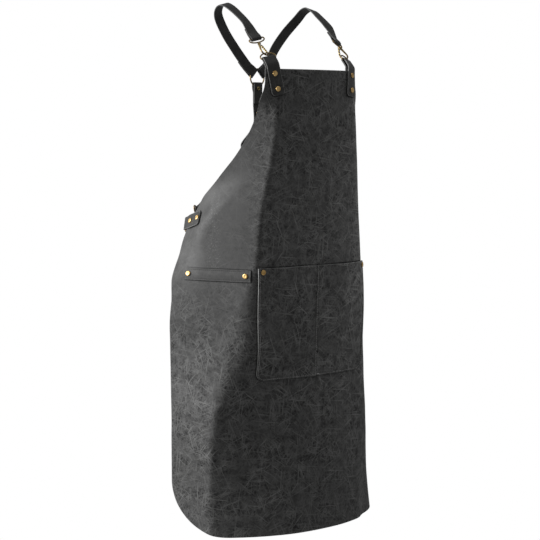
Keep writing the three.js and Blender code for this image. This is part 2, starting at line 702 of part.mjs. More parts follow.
// A strap's last stretch to a ring, at an angle from straight up and flat in the ring's plane
function ringEnd(ring, degrees, approach, widthGuide) {
  const spoke = vector(Math.sin(radians(degrees)), 0, Math.cos(radians(degrees)));
  const fold = Math.sqrt(RING_RADIUS ** 2 - (STRAP_WIDTH / 2) ** 2) - RING_BITE;
  const wide = vector(spoke.z, 0, -spoke.x);
  wide.multiplyScalar(Math.sign(wide.dot(widthGuide)));
  return {
    points: [along(ring, spoke, fold + approach), along(ring, spoke, fold)],
    widths: [wide, wide],
  };
}

const upperRing = vector(UPPER_RING.x, UPPER_RING.y, UPPER_RING.z);
const lowerRing = vector(LOWER_RING.x, LOWER_RING.y, LOWER_RING.z);
const backward = vector(0, 1, 0);
const hookFold = { wire: WIRE, slack: BAR_SLACK, tail: HOOK_END_TAIL, side: -1 };
const ringFold = { wire: RING_WIRE, slack: RING_SLACK, tail: RING_END_TAIL, side: -1 };

addPiece('apron_body', bodySolid(), LEATHER);
addPiece('front_pocket', pocketSolid(), LEATHER);
addPiece('side_strip', stripSolid(), LEATHER);
addRing('upper_ring', upperRing);
addRing('lower_ring', lowerRing);

// Tab, D-ring and hook in a row, from the leather's edge towards a point that pulls on it
function addFastening(place, side, tab, target, hookTurn) {
  const plan = tabPlan(tab, side.sign);
  addPiece(`${place}_tab_${side.name}`, tabSolid(plan), STRAP_LEATHER);
  TAB_RIVETS.forEach((inset, k) => {
    const point = plan.place(-inset, 0, TAB_GAP + STRAP_WALL);
    const name = `${place}_tab_rivet_${side.name}_${k + 1}`;
    addTurned(name, RIVET_PROFILE, point, faceNormal(...plan.spot(-inset, 0)));
  });
  const pull = target.clone().sub(plan.bar).normalize();
  const ring = flatFrame(plan.bar, plan.level, squareTo(plan.level, pull));
  addPiece(`${place}_d_ring_${side.name}`, wireSolid(dPath(D_BOW_HEIGHT), ring, WIRE_SIDES, true), BRASS);
  return addHook(place, side.name, ring, pull, plan.outward, hookTurn, tab.seat);
}

// A route's row as vectors, mirrored where the sign is negative
function routePoint(row, sign) {
  return { point: vector(sign * row.x, row.y, row.z), wide: vector(sign * row.wx, row.wy, row.wz) };
}

// A strap from a hook's eye through the points of its route to its end on a ring
function hookedRoute(hook, approach, hookWide, route, end, outward) {
  const points = [hook.bar, along(hook.bar, hook.pull, approach), ...route.map((row) => row.point), ...end.points];
  const widths = [hookWide, hookWide, ...route.map((row) => row.wide), ...end.widths];
  return strapRoute(points, widths, outward);
}

for (const side of SIDES) {
  const over = SHOULDER_ROUTE.map((row) => routePoint(row, side.sign));
  const hook = addFastening('shoulder', side, SHOULDER_TAB, over[0].point, SHOULDER_HOOK_TURN);
  const end = ringEnd(upperRing, side.sign * STRAP_FAN, RING_APPROACH, over.at(-1).wide);
  const hookWide = hook.level.clone().negate();
  const strap = hookedRoute(hook, SHOULDER_HOOK_APPROACH, hookWide, over, end, vector(0, -1, 1));
  const strapEnd = { ...ringFold, side: 1 };
  const shoulderStrap = strapSolid(strap, hookFold, strapEnd, SHOULDER_STEPS);
  addPiece(`shoulder_strap_${side.name}`, shoulderStrap, STRAP_LEATHER);

  const flank = routePoint(WAIST_ROUTE[side.name], 1);
  const waistHook = addFastening('waist', side, WAIST_TAB, flank.point, WAIST_HOOK_TURN);
  const reach = flank.point.clone().sub(lowerRing);
  const angle = THREE.MathUtils.radToDeg(Math.atan2(reach.x, reach.z));
  const waistEnd = ringEnd(lowerRing, angle, LOWER_RING_APPROACH, flank.wide);
  const waist = hookedRoute(waistHook, WAIST_HOOK_APPROACH, waistHook.level, [flank], waistEnd, backward);
  addPiece(`waist_strap_${side.name}`, strapSolid(waist, hookFold, ringFold, WAIST_STEPS), STRAP_LEATHER);

  const pocketRivet = side.sign * POCKET_RIVET.s;
  const pocketFace = pocketLift(POCKET_RIVET.s / POCKET_HALF_TOP, POCKET_RIVET.drop) + PANEL_WALL;
  addTurned(
    `pocket_rivet_${side.name}`,
    RIVET_PROFILE,
    offFace(pocketRivet, POCKET_RIVET.drop, pocketFace),
    faceNormal(pocketRivet, POCKET_RIVET.drop),
  );
}

const leftward = vector(1, 0, 0);
// The centre strap hangs straight under its doubled end, then bends back to the lower ring
const backStops = [
  { ring: upperRing, degrees: 180, approaches: [0, RING_END_TAIL, BACK_DROP] },
  { ring: lowerRing, degrees: 0, approaches: [BACK_RISE, RING_END_TAIL, 0] },
];
const backPoints = backStops.flatMap(({ ring, degrees, approaches }) => (
  approaches.map((approach) => ringEnd(ring, degrees, approach, leftward).points[0])
));
const backRoute = strapRoute(backPoints, backPoints.map(() => leftward), backward);
addPiece('centre_back_strap', strapSolid(backRoute, ringFold, ringFold, BACK_STEPS), STRAP_LEATHER);
const frontOf = (u) => backRoute.place(u, 0, -1).sub(backRoute.place(u, 0, 0));
const tailFace = RING_WIRE + CLEAR + STRAP_WALL;
addTurned('back_eyelet', EYELET_PROFILE, backRoute.place(BACK_EYELET, 0, -tailFace), frontOf(BACK_EYELET));
const strapFace = backRoute.place(BACK_RIVET, 0, -STRAP_WALL / 2);
addTurned('back_rivet', RIVET_PROFILE, strapFace, frontOf(BACK_RIVET));

STRIP_RIVETS.forEach((s, k) => {
  const drop = (STRIP_TOP + STRIP_BOTTOM) / 2;
  const face = offFace(-s, drop, SEAM_GAP + PANEL_WALL);
  addTurned(`strip_rivet_${k + 1}`, RIVET_PROFILE, face, faceNormal(-s, drop));
});

export default apron;
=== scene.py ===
import math
from collections import namedtuple

import bpy
import numpy as np
from mathutils import Matrix, Vector


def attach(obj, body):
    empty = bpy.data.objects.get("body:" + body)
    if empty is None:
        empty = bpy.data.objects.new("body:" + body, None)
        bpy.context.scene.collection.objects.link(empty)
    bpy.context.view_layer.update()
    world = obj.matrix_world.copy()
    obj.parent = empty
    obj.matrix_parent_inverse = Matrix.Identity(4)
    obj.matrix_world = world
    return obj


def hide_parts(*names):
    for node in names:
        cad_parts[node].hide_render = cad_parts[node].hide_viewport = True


# Looks of a leather cross-back apron in its worn form. Sizes are in millimetres, meshes in metres.
# The wearer faces -Y, so +X is the wearer's left. On the leather, s is the distance round from the
# centre front, negative on the wearer's right, and drop the distance below the bib's top edge.

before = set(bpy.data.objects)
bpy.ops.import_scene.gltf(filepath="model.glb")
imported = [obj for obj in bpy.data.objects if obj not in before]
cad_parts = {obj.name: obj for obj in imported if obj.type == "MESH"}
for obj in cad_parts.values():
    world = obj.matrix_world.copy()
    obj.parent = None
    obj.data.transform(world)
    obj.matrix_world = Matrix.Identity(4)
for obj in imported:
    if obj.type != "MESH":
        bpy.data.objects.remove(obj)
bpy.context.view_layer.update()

MM = 0.001
SIDES = {"right": -1, "left": 1}


def table(kind, *rows):
    """Rows with named columns."""
    return [kind(*row) for row in rows]


# Leather body
BIB_TOP_Z = -124
BODY_LENGTH = 860
BODY_WALL = 2
CORNER_ACROSS = 130
CORNER_UP = 100
SIDE_TURN_SPAN = 160
SIDE_TURN_LIMIT = 1.3
CURL_FROM_EDGE = 80
CURL_SPAN = 44
SURFACE_REACH = 372
SURFACE_DROPS = (-20, 880)
SURFACE_STEP = 1
SURFACE_ROW = 2
BODY_COLUMNS = 220
BODY_ROW = 4
HEM_ROWS = 34

# Pocket and side strip
PANEL_WALL = 1.8
SEAM_GAP = 0.6
POCKET_TOP = 360
POCKET_BOTTOM = 568
POCKET_HALF_TOP = 138
POCKET_HALF_BOTTOM = 132
POCKET_CORNER = 16
POCKET_GAPE = {-1: 2.0, 1: 4.2}
POCKET_ROWS = 74
POCKET_FINE = 0.005
POCKET_COARSE = 0.02
POCKET_FINE_REACH = 0.04
GAPE_POWER = 1.5
DENT_WIDTH = 1.3
EDGE_DENT = 0.4
MIDDLE_DENT = 0.5
MIDDLE_RIDGE = 0.5
MIDDLE_RIDGE_AT = -2.4
HEM_WIDTH = 4.6
HEM_STEP = 2
HEM_HEIGHT = 1.3
STRIP_FRONT = 150.5
STRIP_BACK = 285.5
STRIP_TOP = 363.5
STRIP_BOTTOM = 385
STRIP_MIDDLE = (STRIP_TOP + STRIP_BOTTOM) / 2
STRIP_DENT = 0.3
STRIP_DENT_WIDTH = 1.2
STRIP_SWELL = 0.5
STRIP_SWELL_WIDTH = 5

# Rounding of the sheets' edges, and where each sheet's pattern starts on the leather
BODY_ROUND = 0.5
PANEL_ROUND = 0.45
TAB_ROUND = 0.55
STRAP_ROUND = 0.5
POCKET_PATTERN = (700, 150)
STRIP_PATTERN = (0, -200)
TAB_PATTERN = 40
STRAP_PATTERN = 500

# Straps and tabs
CLEAR = 0.35
STRAP_WIDTH = 20
STRAP_WALL = 2.2
STRAP_ROW = 2.5
TAB_WIDTH = 25
TAB_CORNER = 7
TAB_GAP = 0.8
TAB_BACK_GAP = 1.1
TAB_FLATTEN = 8
TAB_BEND_SHARE = 0.6
LOOP_TAPER = 13
RING_SLACK = 5.2
BAR_SLACK = 1.6
HOOK_END_TAIL = 27
RING_END_TAIL = 37
RING_APPROACH = 22
BACK_DROP = 78
BACK_RISE = 43
LOWER_RING_APPROACH = 39
SHOULDER_HOOK_APPROACH = 14
WAIST_HOOK_APPROACH = 29
RING_BITE = 0.5
SPINE_STEP = 0.5
FOLD_STEPS = 16
TAPER_STEPS = 9
PROBE = 0.5

# Brass hardware
WIRE = 1.3
RING_WIRE = 1.4
RING_RADIUS = 16.6
D_HALF_WIDTH = 15.2
D_BOW_HEIGHT = 12.4
D_CORNER_HEIGHT = 3
D_BAR_SHARE = 0.85
D_SLIDE = 10
EYE_DEPTH = 9.5
HOOK_WIRE = 1.55
SHOULDER_HOOK_TURN = 31
WAIST_HOOK_TURN = 75
BARREL_TOP = 30
GATE_RIBS = 8
RIB_DEPTH = 0.13
RIB_FADE = 0.12
RIB_SHIFT = 0.6

# Steps, rows and columns of the meshes
BEVEL_DEGREES = 50
WIRE_SIDES = 14
TURNED_SIDES = 36
CAP_SHARE = 0.72
CAP_STEP = 0.001
SHORTEST = 1e-6
GRID_END = 1.001
CORNER_STEPS = 12
TAB_CORNER_STEPS = 9
TAB_ROW = 1.5
TAB_COLUMNS = 13
STRAP_COLUMNS = 11
STRIP_COLUMNS = 80
STRIP_ROWS = 26
D_BAR_STEPS = 12
D_CORNER_STEPS = 8
D_BOW_STEPS = 40
RING_STEPS = 72
ROUTE_STEPS = 60
HOOK_STEPS = 6
GATE_STEPS = 34

# Patterns of the materials are noise: its scale, detail and roughness, and the range of it that is
# used, followed by what that is spread over where it isn't 0 to 1
Pattern = namedtuple("Pattern", "scale detail rough spread", defaults=[(0, 1)])
WARP = Pattern(60, 2, 0.5)
WORN_PATCHES = Pattern(22, 3, 0.6, (0.38, 0.58, 0.45, 1))
MOTTLE = Pattern(70, 4, 0.68, (0.35, 0.65, -0.5, 0.5))
CELL_PATCHES = Pattern(48, 2, 0.5, (0.5, 0.6))
SPECKS = Pattern(230, 1, 0.5, (0.44, 0.34))
FLECKS = Pattern(330, 2, 0.6, (0.57, 0.68))
CREASES = Pattern(1, 0, 0.5, (0.67, 0.8))
RUBBING = Pattern(150, 2, 0.5, (0.35, 0.6, 0.3, 1))
GRAIN = Pattern(700, 2, 0.5)
WRINKLES = Pattern(90, 3, 0.6)
NAP = Pattern(420, 4, 0.65, (0.35, 0.65))
NAP_CLOUD = Pattern(18, 3, 0.5, (0.3, 0.7, 0.5, 1))
FIBRE = Pattern(900, 3, 0.6, (0.3, 0.7))
EDGE_WEAR = Pattern(60, 2, 0.5, (0.35, 0.65, 0.45, 1))
BRASS_CLOUD = Pattern(110, 2, 0.5)
BRASS_SPECK = Pattern(1400, 2, 0.5)
THREAD_TWIST = Pattern(1600, 2, 0.5, (0.35, 0.65))
FLOOR_CLOUD = Pattern(6, 2, 0.5)

# Leather looks. Creases have directions in degrees, and lengths and widths in metres.
CREASE_DIRECTIONS = (8, 37, 68, 97, 129, 158)
CREASE_SIZES = ((0.06, 0.0024), (0.04, 0.0022), (0.075, 0.0023))
WARP_REACH = 0.004
CELL_SCALE = 130
CELL_EDGE = (0.05, 0.28)
MOTTLE_DARK = 0.35
MOTTLE_LIGHT = 1.65
SUNK_SHARE = 0.8
CREASE_SHARE = 0.75
SCUFF_SHARE = 0.7
SCUFF_FADE = (0.012, 0.03)
BORDER_RANGE = (0.35, 1)
# Painted contact shadow round the pieces on the body: its share, its darkness and how far out it fades
SEAM_SHADOW_SHARE = 0.85
SEAM_SHADOW_DARK = 0.3
SEAM_SHADOW_REACH = (0.0006, 0.0026)
GRAIN_HEIGHT = 0.3
WRINKLE_HEIGHT = 0.5
CREASE_HEIGHT = 0.4
SUNK_DEPTH = 0.3
BODY_BUMP = 0.4
STRAP_BUMP = 0.1
BUMP_REACH = 0.0007
ROUGHER = 0.08
SMOOTHER = 0.06
EDGE_ROUGHNESS = (0.3, 0.7, 0.62, 0.48)

# Wear of the straps, and ranges over which the body's sides and bib are calmer than its front
STRAP_WEAR = 0.35
CALM_ASIDE = (0.12, 0.17)
CALM_ABOVE = (0.5, 0.36)
CALM_WEAR = (0, 1, 1, 0.25)
BIB_WEAR = (0.25, 0.4, 0.9, 1)

# Brass looks
CLOUD_SHARE = 0.9
SPECK_SHARE = 0.1
AGE_SOFTNESS = 0.12
AGE_ROUGHNESS = 0.16

# Stitches
STITCH_PITCH = 4.2
STITCH_LENGTH = 3.0
STITCH_RADIUS = 0.5
STITCH_INSET = 2.6
STITCH_BOW = 0.55
STITCH_SINK = 0.35
STITCH_FLATTEN = 1.15
STITCH_SIDES = 6
STITCH_START = 2
STITCH_SAMPLES = 60
STRIP_SAMPLES = 90

# Rings of one stitch: the place along it and the share of its radius
STITCH_RINGS = ((-0.5, 0.25), (-0.4, 0.75), (-0.18, 1), (0.18, 1), (0.4, 0.75), (0.5, 0.25))

# Places on the wearer's right. The left side mirrors them.
# A tab's seat is the room between its D-ring's bow and the hook.
Tab = namedtuple("Tab", "s drop lean front back reach tilt seat")
SHOULDER_TAB = Tab(s=96.4, drop=0, lean=10.3, front=49, back=46, reach=23.5, tilt=37, seat=0.35)
WAIST_TAB = Tab(s=308, drop=281.5, lean=104, front=44, back=40, reach=16, tilt=0, seat=0.5)
TAB_RIVETS = (9, 37)
UPPER_RING = np.array([0.0, 74.0, -134.5])
LOWER_RING = np.array([0.0, 112.0, -318.0])
STRAP_FAN = 48.5
POCKET_RIVET = {"s": 128, "drop": 367}
STRIP_RIVETS = (160.5, 279)
BACK_EYELET = 8
BACK_RIVET = 56

# The centre front's depth
Depth = namedtuple("Depth", "drop y")
FRONT_DEPTH = table(
    Depth,
    (0, -100), (60, -103), (150, -105), (360, -106), (480, -102), (600, -97), (720, -102),
    (860, -107),
)

# The soft fold between front and side: its distance from the centre front and its half width in
# millimetres of leather, then the degrees turned over the front, in the fold and along the side
Fold = namedtuple("Fold", "drop at half front turn side")
RIGHT_FOLD = table(
    Fold,
    (0, 96, 28, 9, 10, 4),
    (45, 94, 26, 8, 20, 4),
    (80, 93, 9, 5, 49, 4),
    (150, 103, 8, 4, 56, 4),
    (260, 130, 7, 4, 58, 6),
    (360, 141, 8, 6, 57, 6),
    (480, 156, 36, 13, 49, 6),
    (560, 181, 28, 18, 49.5, 6),
    (640, 208, 10, 26, 48, 6),
    (720, 215, 9, 33, 43, 6),
    (860, 214, 12, 44, 34, 6),
)
LEFT_FOLD = table(
    Fold,
    (0, 96, 28, 12, 18, 4),
    (45, 98, 26, 8, 32, 4),
    (80, 102, 20, 8, 46, 4),
    (150, 106, 16, 8, 50, 4),
    (260, 115, 18, 12, 52, 6),
    (360, 128, 20, 15, 50, 6),
    (480, 142, 20, 17, 48, 6),
    (600, 157, 22, 20, 44, 6),
    (720, 175, 24, 26, 40, 6),
    (860, 216, 20, 33, 34, 6),
)

# A drape fold near the hem on the wearer's left
HEM_FOLD = {"at": 140, "width": 18, "turn": 15, "start": 640, "full": 820}

# Soft waves of the skirt: the place of a crest or trough on the leather, its half width, its reach
# up and down, and its height
Wave = namedtuple("Wave", "s drop width reach height")
SKIRT_WAVES = table(
    Wave,
    (-142, 505, 28, 75, 9),
    (-106, 672, 14, 95, 4),
    (-136, 655, 18, 105, -6.5),
    (60, 700, 26, 130, 1.6),
    (108, 740, 22, 110, -1.8),
)

# Ripples all over the leather: the height and size of their bumps, the seed of their noise, and how
# far its two axes lean. They are calm on the bib, full below it and die out at the tabs.
Ripple = namedtuple("Ripple", "height cell seed lean_across lean_down")
RIPPLES = table(Ripple, (1.5, 105, 3, 0.3, -0.2), (0.45, 38, 11, -0.4, 0.4))
NOISE_ORIGIN = 900
NOISE_LATTICE = 64
CALM_SHARE = 0.35
FULL_FROM = 150
FULL_SPAN = 350
TAB_CALM = 20
TAB_CALM_SPAN = 60

# Half width of the cut leather, measured along it
Cut = namedtuple("Cut", "drop half")
CUT_LINE = table(
    Cut,
    (0, 112), (25, 113), (60, 124), (90, 135.4), (120, 151.3), (160, 180), (200, 220),
    (240, 269), (280, 308), (313, 320), (340, 316), (385, 315.5), (430, 310), (860, 311),
)

# Degrees by which the waist corners are drawn in by the back straps
Curl = namedtuple("Curl", "drop turn")
WAIST_CURL = table(
    Curl,
    (0, 0), (170, 0), (225, 16), (270, 36), (300, 36), (340, 20), (390, 0), (860, 0),
)

# Points of the straps between hook and ring, with the direction of the strap's width
StrapPoint = namedtuple("StrapPoint", "x y z wx wy wz")
SHOULDER_ROUTE = table(
    StrapPoint,
    (100, -19, -39, 1, 0, 0),
    (101, 8, -19, 1, 0.05, -0.05),
    (103, 30, -5.5, 1, 0.15, -0.1),
    (104, 45, -1.5, 0.95, 0.2, -0.25),
    (103, 58, -6, 0.9, 0.15, -0.4),
    (98, 69, -19, 0.85, 0.05, -0.5),
    (74, 80, -49, 0.78, 0, -0.62),
    (48, 81, -81, 0.76, 0, -0.65),
)
WAIST_ROUTE = {
    "right": StrapPoint(-90, 116, -368, -0.45, 0, 0.89),
    "left": StrapPoint(62, 118, -370, 0.62, 0, 0.78),
}

# Snap hook: a pear loop on a swivel barrel, and the spring gate that closes it.
# a runs across the loop, b up from its lowest wire, and r is the radius there.
Station = namedtuple("Station", "a b r")
HOOK_BODY = table(
    Station,
    (0, BARREL_TOP, 2.4), (0, BARREL_TOP - 0.6, 3.1), (0, BARREL_TOP - 1.4, 3.2),
    (0, BARREL_TOP - 1.9, 2.6), (-0.3, 27.4, 2.9), (-2.2, 25, 2.2), (-5.4, 17, 1.75),
    (-8, 9.6, HOOK_WIRE), (-8, 5.4, HOOK_WIRE), (-6, 1.9, HOOK_WIRE), (-3, 0.2, HOOK_WIRE),
    (0, 0, HOOK_WIRE), (3, 0.2, HOOK_WIRE), (6, 1.9, HOOK_WIRE), (8, 5.4, HOOK_WIRE),
    (8.1, 8.3, HOOK_WIRE),
)
HOOK_GATE = table(
    Station,
    (8, 9.35, 1.3), (7.75, 10.2, 1.6), (5.6, 17, 1.75), (3.35, 24.1, 1.7),
    (3.12, 25.1, 1.05),
)

# Turned profiles: r is the radius and h the height over the leather
Turned = namedtuple("Turned", "r h")
RIVET_PROFILE = table(
    Turned,
    (0, 0), (4.75, 0), (4.9, 0.35), (4.8, 0.9), (4.5, 1.4), (4.0, 1.75), (3.3, 1.9),
    (2.7, 1.88), (2.1, 1.8), (1.4, 1.74), (0, 1.7),
)
EYELET_PROFILE = table(
    Turned,
    (1.5, -0.4), (3.6, -0.2), (3.7, 0.15), (3.4, 0.65), (2.7, 0.95), (2.0, 0.8), (1.6, 0.4),
    (1.5, -0.4),
)


# Numbers and vectors

def vector(*values):
    return np.array(values, float)


BACKWARD = vector(0, 1, 0)
LEFTWARD = vector(1, 0, 0)
UPWARD = vector(0, 0, 1)
OVER_SHOULDER = vector(0, -1, 1)
TURNED_GUIDE = vector(0.3, 0.2, 0.9)


def unit(v):
    """A vector, or each of several, at unit length."""
    return v / np.linalg.norm(v, axis=-1, keepdims=True)


def square_to(fixed, direction):
    """The part of a direction that is square to a unit vector."""
    return unit(direction - fixed * np.dot(direction, fixed))


def mix(a, b, t):
    return a + (b - a) * t


def smooth(t):
    t = np.clip(t, 0, 1)
    return t * t * (3 - 2 * t)


def bell(t):
    """A soft bump that is 1 at 0 and dies out on both sides."""
    return np.exp(-(t**2))


def around(count):
    """Angles of points spaced evenly round a circle."""
    return np.linspace(0, 2 * math.pi, count, endpoint=False)


def run_along(points):
    """The distance along a row of points to each of them."""
    steps = np.linalg.norm(np.diff(points, axis=0), axis=1)
    return np.concatenate([[0], np.cumsum(steps)])


def pick(values, run, at):
    """Values that belong to a row of points, at a distance along it."""
    return np.array([np.interp(at, run, column) for column in values.T])


def look_up(rows, column, drop):
    """A smooth curve through a table's column that never overshoots its rows."""
    at = np.array([row.drop for row in rows], float)
    value = np.array([getattr(row, column) for row in rows], float)
    span = np.diff(at)
    rise = np.diff(value) / span
    slope = np.zeros(len(at))
    slope[0] = rise[0]
    slope[-1] = rise[-1]
    before = 2 * span[1:] + span[:-1]
    after = span[1:] + 2 * span[:-1]
    for k in range(1, len(at) - 1):
        if rise[k - 1] * rise[k] > 0:
            share = before[k - 1] / rise[k - 1] + after[k - 1] / rise[k]
            slope[k] = (before[k - 1] + after[k - 1]) / share
    x = np.clip(np.asarray(drop, float), at[0], at[-1])
    i = np.clip(np.searchsorted(at, x, side="left") - 1, 0, len(span) - 1)
    t = (x - at[i]) / span[i]
    u = 1 - t
    values = (1 + 2 * t) * u * u * value[i] + t * t * (3 - 2 * t) * value[i + 1]
    return values + span[i] * (t * u * u * slope[i] - t * t * u * slope[i + 1])


def soft_noise(x, y, cell, seed):
    """Smooth noise from -1 to 1 with bumps about one cell across."""
    lattice = np.random.default_rng(seed).uniform(-1, 1, (NOISE_LATTICE, NOISE_LATTICE))
    u = x / cell
    v = y / cell
    i = np.floor(u).astype(int)
    j = np.floor(v).astype(int)
    fu = smooth(u - i)
    fv = smooth(v - j)
    at = lambda a, b: lattice[(i + a) % NOISE_LATTICE, (j + b) % NOISE_LATTICE]
    return mix(mix(at(0, 0), at(1, 0), fu), mix(at(0, 1), at(1, 1), fu), fv)


# The leather's face as a fine grid of points and normals

def cut_half(drop):
    """Half width of the leather at a height, with the rounded bottom corner taken off."""
    up = np.clip((np.asarray(drop, float) - (BODY_LENGTH - CORNER_UP)) / CORNER_UP, 0, 1)
    return look_up(CUT_LINE, "half", drop) - CORNER_ACROSS * (1 - np.sqrt(1 - up * up))


def level_curves(sign, drops):
    """X and Y of one side's level curves, one row for each drop, from the centre front outwards."""
    fold = RIGHT_FOLD if sign < 0 else LEFT_FOLD
    column = lambda name: look_up(fold, name, drops)[:, None]
    at = column("at")
    half = column("half")
    s = np.arange(SURFACE_STEP / 2, SURFACE_REACH, SURFACE_STEP)[None, :]
    in_fold = column("turn") * smooth((s - at + half) / (2 * half))
    on_side = column("side") * np.clip((s - at) / SIDE_TURN_SPAN, 0, SIDE_TURN_LIMIT)
    curl_from = look_up(CUT_LINE, "half", drops)[:, None] - CURL_FROM_EDGE
    in_curl = look_up(WAIST_CURL, "turn", drops)[:, None] * smooth((s - curl_from) / CURL_SPAN)
    drape = smooth((drops - HEM_FOLD["start"]) / (HEM_FOLD["full"] - HEM_FOLD["start"]))[:, None]
    in_drape = drape * HEM_FOLD["turn"] * bell((s - HEM_FOLD["at"]) / HEM_FOLD["width"]) * (sign > 0)
    on_front = column("front") * np.minimum(s / at, 1)
    heading = np.radians(on_front + in_fold + on_side + in_curl + in_drape)
    start = np.zeros((len(drops), 1))
    x = np.hstack([start, np.cumsum(np.cos(heading), axis=1)]) * SURFACE_STEP
    y = np.hstack([start, np.cumsum(np.sin(heading), axis=1)]) * SURFACE_STEP
    return x, y + look_up(FRONT_DEPTH, "y", drops)[:, None]


def grid_normals(points):
    down = np.gradient(points, axis=0)
    across = np.gradient(points, axis=1)
    return unit(np.cross(down, across))


def relief(s, drop):
    """Soft waves of the leather, in millimetres off its plain form."""
    fullness = mix(CALM_SHARE, 1.0, smooth((drop - FULL_FROM) / FULL_SPAN))
    for tab in (SHOULDER_TAB, WAIST_TAB):
        away = np.hypot(np.abs(s) - tab.s, drop - tab.drop)
        fullness = fullness * smooth((away - TAB_CALM) / TAB_CALM_SPAN)
    waves = 0
    for ripple in RIPPLES:
        across = s + ripple.lean_across * drop + NOISE_ORIGIN
        down = drop + ripple.lean_down * s + NOISE_ORIGIN
        waves = waves + ripple.height * soft_noise(across, down, ripple.cell, ripple.seed)
    waves = fullness * waves
    for wave in SKIRT_WAVES:
        across = ((s - wave.s) / wave.width) ** 2
        waves = waves + wave.height * np.exp(-across - ((drop - wave.drop) / wave.reach) ** 2)
    return waves


def make_surface():
    drops = np.arange(SURFACE_DROPS[0], SURFACE_DROPS[1] + 1, SURFACE_ROW, dtype=float)
    right_x, right_y = level_curves(-1, drops)
    left_x, left_y = level_curves(1, drops)
    x = np.hstack([-right_x[:, :0:-1], left_x])
    y = np.hstack([right_y[:, :0:-1], left_y])
    z = np.repeat((BIB_TOP_Z - drops)[:, None], x.shape[1], axis=1)
    points = np.stack([x, y, z], axis=2)
    s = np.arange(-SURFACE_REACH, SURFACE_REACH + 1, SURFACE_STEP, dtype=float)
    waves = relief(*np.meshgrid(s, drops))
    points = points + grid_normals(points) * waves[:, :, None]
    return points, grid_normals(points)


SURFACE, NORMALS = make_surface()


def on_grid(grid, s, drop):
    s, drop = np.broadcast_arrays(np.asarray(s, float), np.asarray(drop, float))
    u = np.clip((s + SURFACE_REACH) / SURFACE_STEP, 0, grid.shape[1] - GRID_END)
    v = np.clip((drop - SURFACE_DROPS[0]) / SURFACE_ROW, 0, grid.shape[0] - GRID_END)
    i = np.floor(v).astype(int)
    j = np.floor(u).astype(int)
    fu = (u - j)[..., None]
    fv = (v - i)[..., None]
    upper = mix(grid[i, j], grid[i, j + 1], fu)
    lower = mix(grid[i + 1, j], grid[i + 1, j + 1], fu)
    return mix(upper, lower, fv)


def face_normal(s, drop):
    return unit(on_grid(NORMALS, s, drop))


def off_face(s, drop, height=0):
    return on_grid(SURFACE, s, drop) + face_normal(s, drop) * np.asarray(height, float)[..., None]


# Meshes

def add_object(name, points, faces, materials, face_materials=None, uv=None, smooth_faces=None):
    """A mesh object from points in millimetres, smooth shaded unless smooth_faces says otherwise.
    uv holds one pair for each point."""
    mesh = bpy.data.meshes.new(name)
    faces = faces.tolist() if isinstance(faces, np.ndarray) else faces
    mesh.from_pydata((np.asarray(points) * MM).tolist(), [], faces)
    for material in materials:
        mesh.materials.append(material)
    mesh.polygons.foreach_set("use_smooth", smooth_faces or [True] * len(faces))
    if face_materials is not None:
        mesh.polygons.foreach_set("material_index", np.asarray(face_materials, np.int32))
    if uv is not None:
        layer = mesh.uv_layers.new(name="leather")
        corner = np.zeros(len(mesh.loops), np.int32)
        mesh.loops.foreach_get("vertex_index", corner)
        layer.data.foreach_set("uv", (np.asarray(uv)[corner] * MM).astype(np.float32).ravel())
    mesh.update()
    thing = bpy.data.objects.new(name, mesh)
    bpy.context.scene.collection.objects.link(thing)
    return thing


def turned_out(points, faces):
    """The faces, reversed if need be so that they point out of the closed form."""
    points = np.asarray(points)
    faces = np.asarray(faces)
    a, b, c = (points[faces[:, k]] for k in range(3))
    volume = np.einsum("ij,ij->", a, np.cross(b, c))
    if faces.shape[1] == 4:
        volume += np.einsum("ij,ij->", a, np.cross(c, points[faces[:, 3]]))
    return faces if volume > 0 else faces[:, ::-1]


def ring_faces(rings):
    """Four-sided faces between each ring of point numbers and the next."""
    low = rings[:-1]
    high = rings[1:]
    corners = [low, np.roll(low, -1, axis=1), np.roll(high, -1, axis=1), high]
    return np.stack([corner.ravel() for corner in corners], axis=1)


def add_sheet(name, outer, inner, uv, materials, round_edge, worn_and_lit_bottom=True):
    """A closed leather sheet from grids of its outer and inner face, with softly rounded edges.
    materials are those of the outer face, the inner face and the cut edge. The cut edge's colour is
    wear, and on the pocket also a painted highlight where its edge faces the light. A bottom edge left
    without it and without the rubbed border looks like the outer face."""
    rows, columns = outer.shape[:2]
    points = np.concatenate([outer.reshape(-1, 3), inner.reshape(-1, 3)])
    index = np.arange(rows * columns).reshape(rows, columns)
    under = index + rows * columns
    quads = lambda a, b, c, d: np.stack([a.ravel(), b.ravel(), c.ravel(), d.ravel()], axis=1)
    face = quads(index[:-1, :-1], index[:-1, 1:], index[1:, 1:], index[1:, :-1])
    back = quads(under[:-1, :-1], under[1:, :-1], under[1:, 1:], under[:-1, 1:])
    rim = [
        quads(index[:-1, 0], index[1:, 0], under[1:, 0], under[:-1, 0]),
        quads(index[:-1, -1], under[:-1, -1], under[1:, -1], index[1:, -1]),
        quads(index[0, :-1], under[0, :-1], under[0, 1:], index[0, 1:]),
        quads(index[-1, :-1], index[-1, 1:], under[-1, 1:], under[-1, :-1]),
    ]
    rim = np.concatenate(rim)
    faces = turned_out(points, np.concatenate([face, back, rim]))
    kinds = np.concatenate([np.full(len(face), 0), np.full(len(back), 1), np.full(len(rim), 2)])
    if not worn_and_lit_bottom:
        kinds[-(columns - 1):] = 0
    flat = np.tile(uv.reshape(-1, 2), (2, 1))
    sheet = add_object(name, points, faces, materials, kinds, flat)
    rubbed = np.ones((rows, columns), np.float32)
    rubbed[1:-1, 1:-1] = 0
    if not worn_and_lit_bottom:
        rubbed[-1, 1:-1] = 0
    wear = sheet.data.attributes.new("wear", "FLOAT", "POINT")
    wear.data.foreach_set("value", np.tile(rubbed.ravel(), 2))
    bevel = sheet.modifiers.new("round_edge", "BEVEL")
    bevel.width = round_edge * MM
    bevel.segments = 2
    bevel.limit_method = "ANGLE"
    bevel.angle_limit = math.radians(BEVEL_DEGREES)
    bevel.harden_normals = True
    return sheet


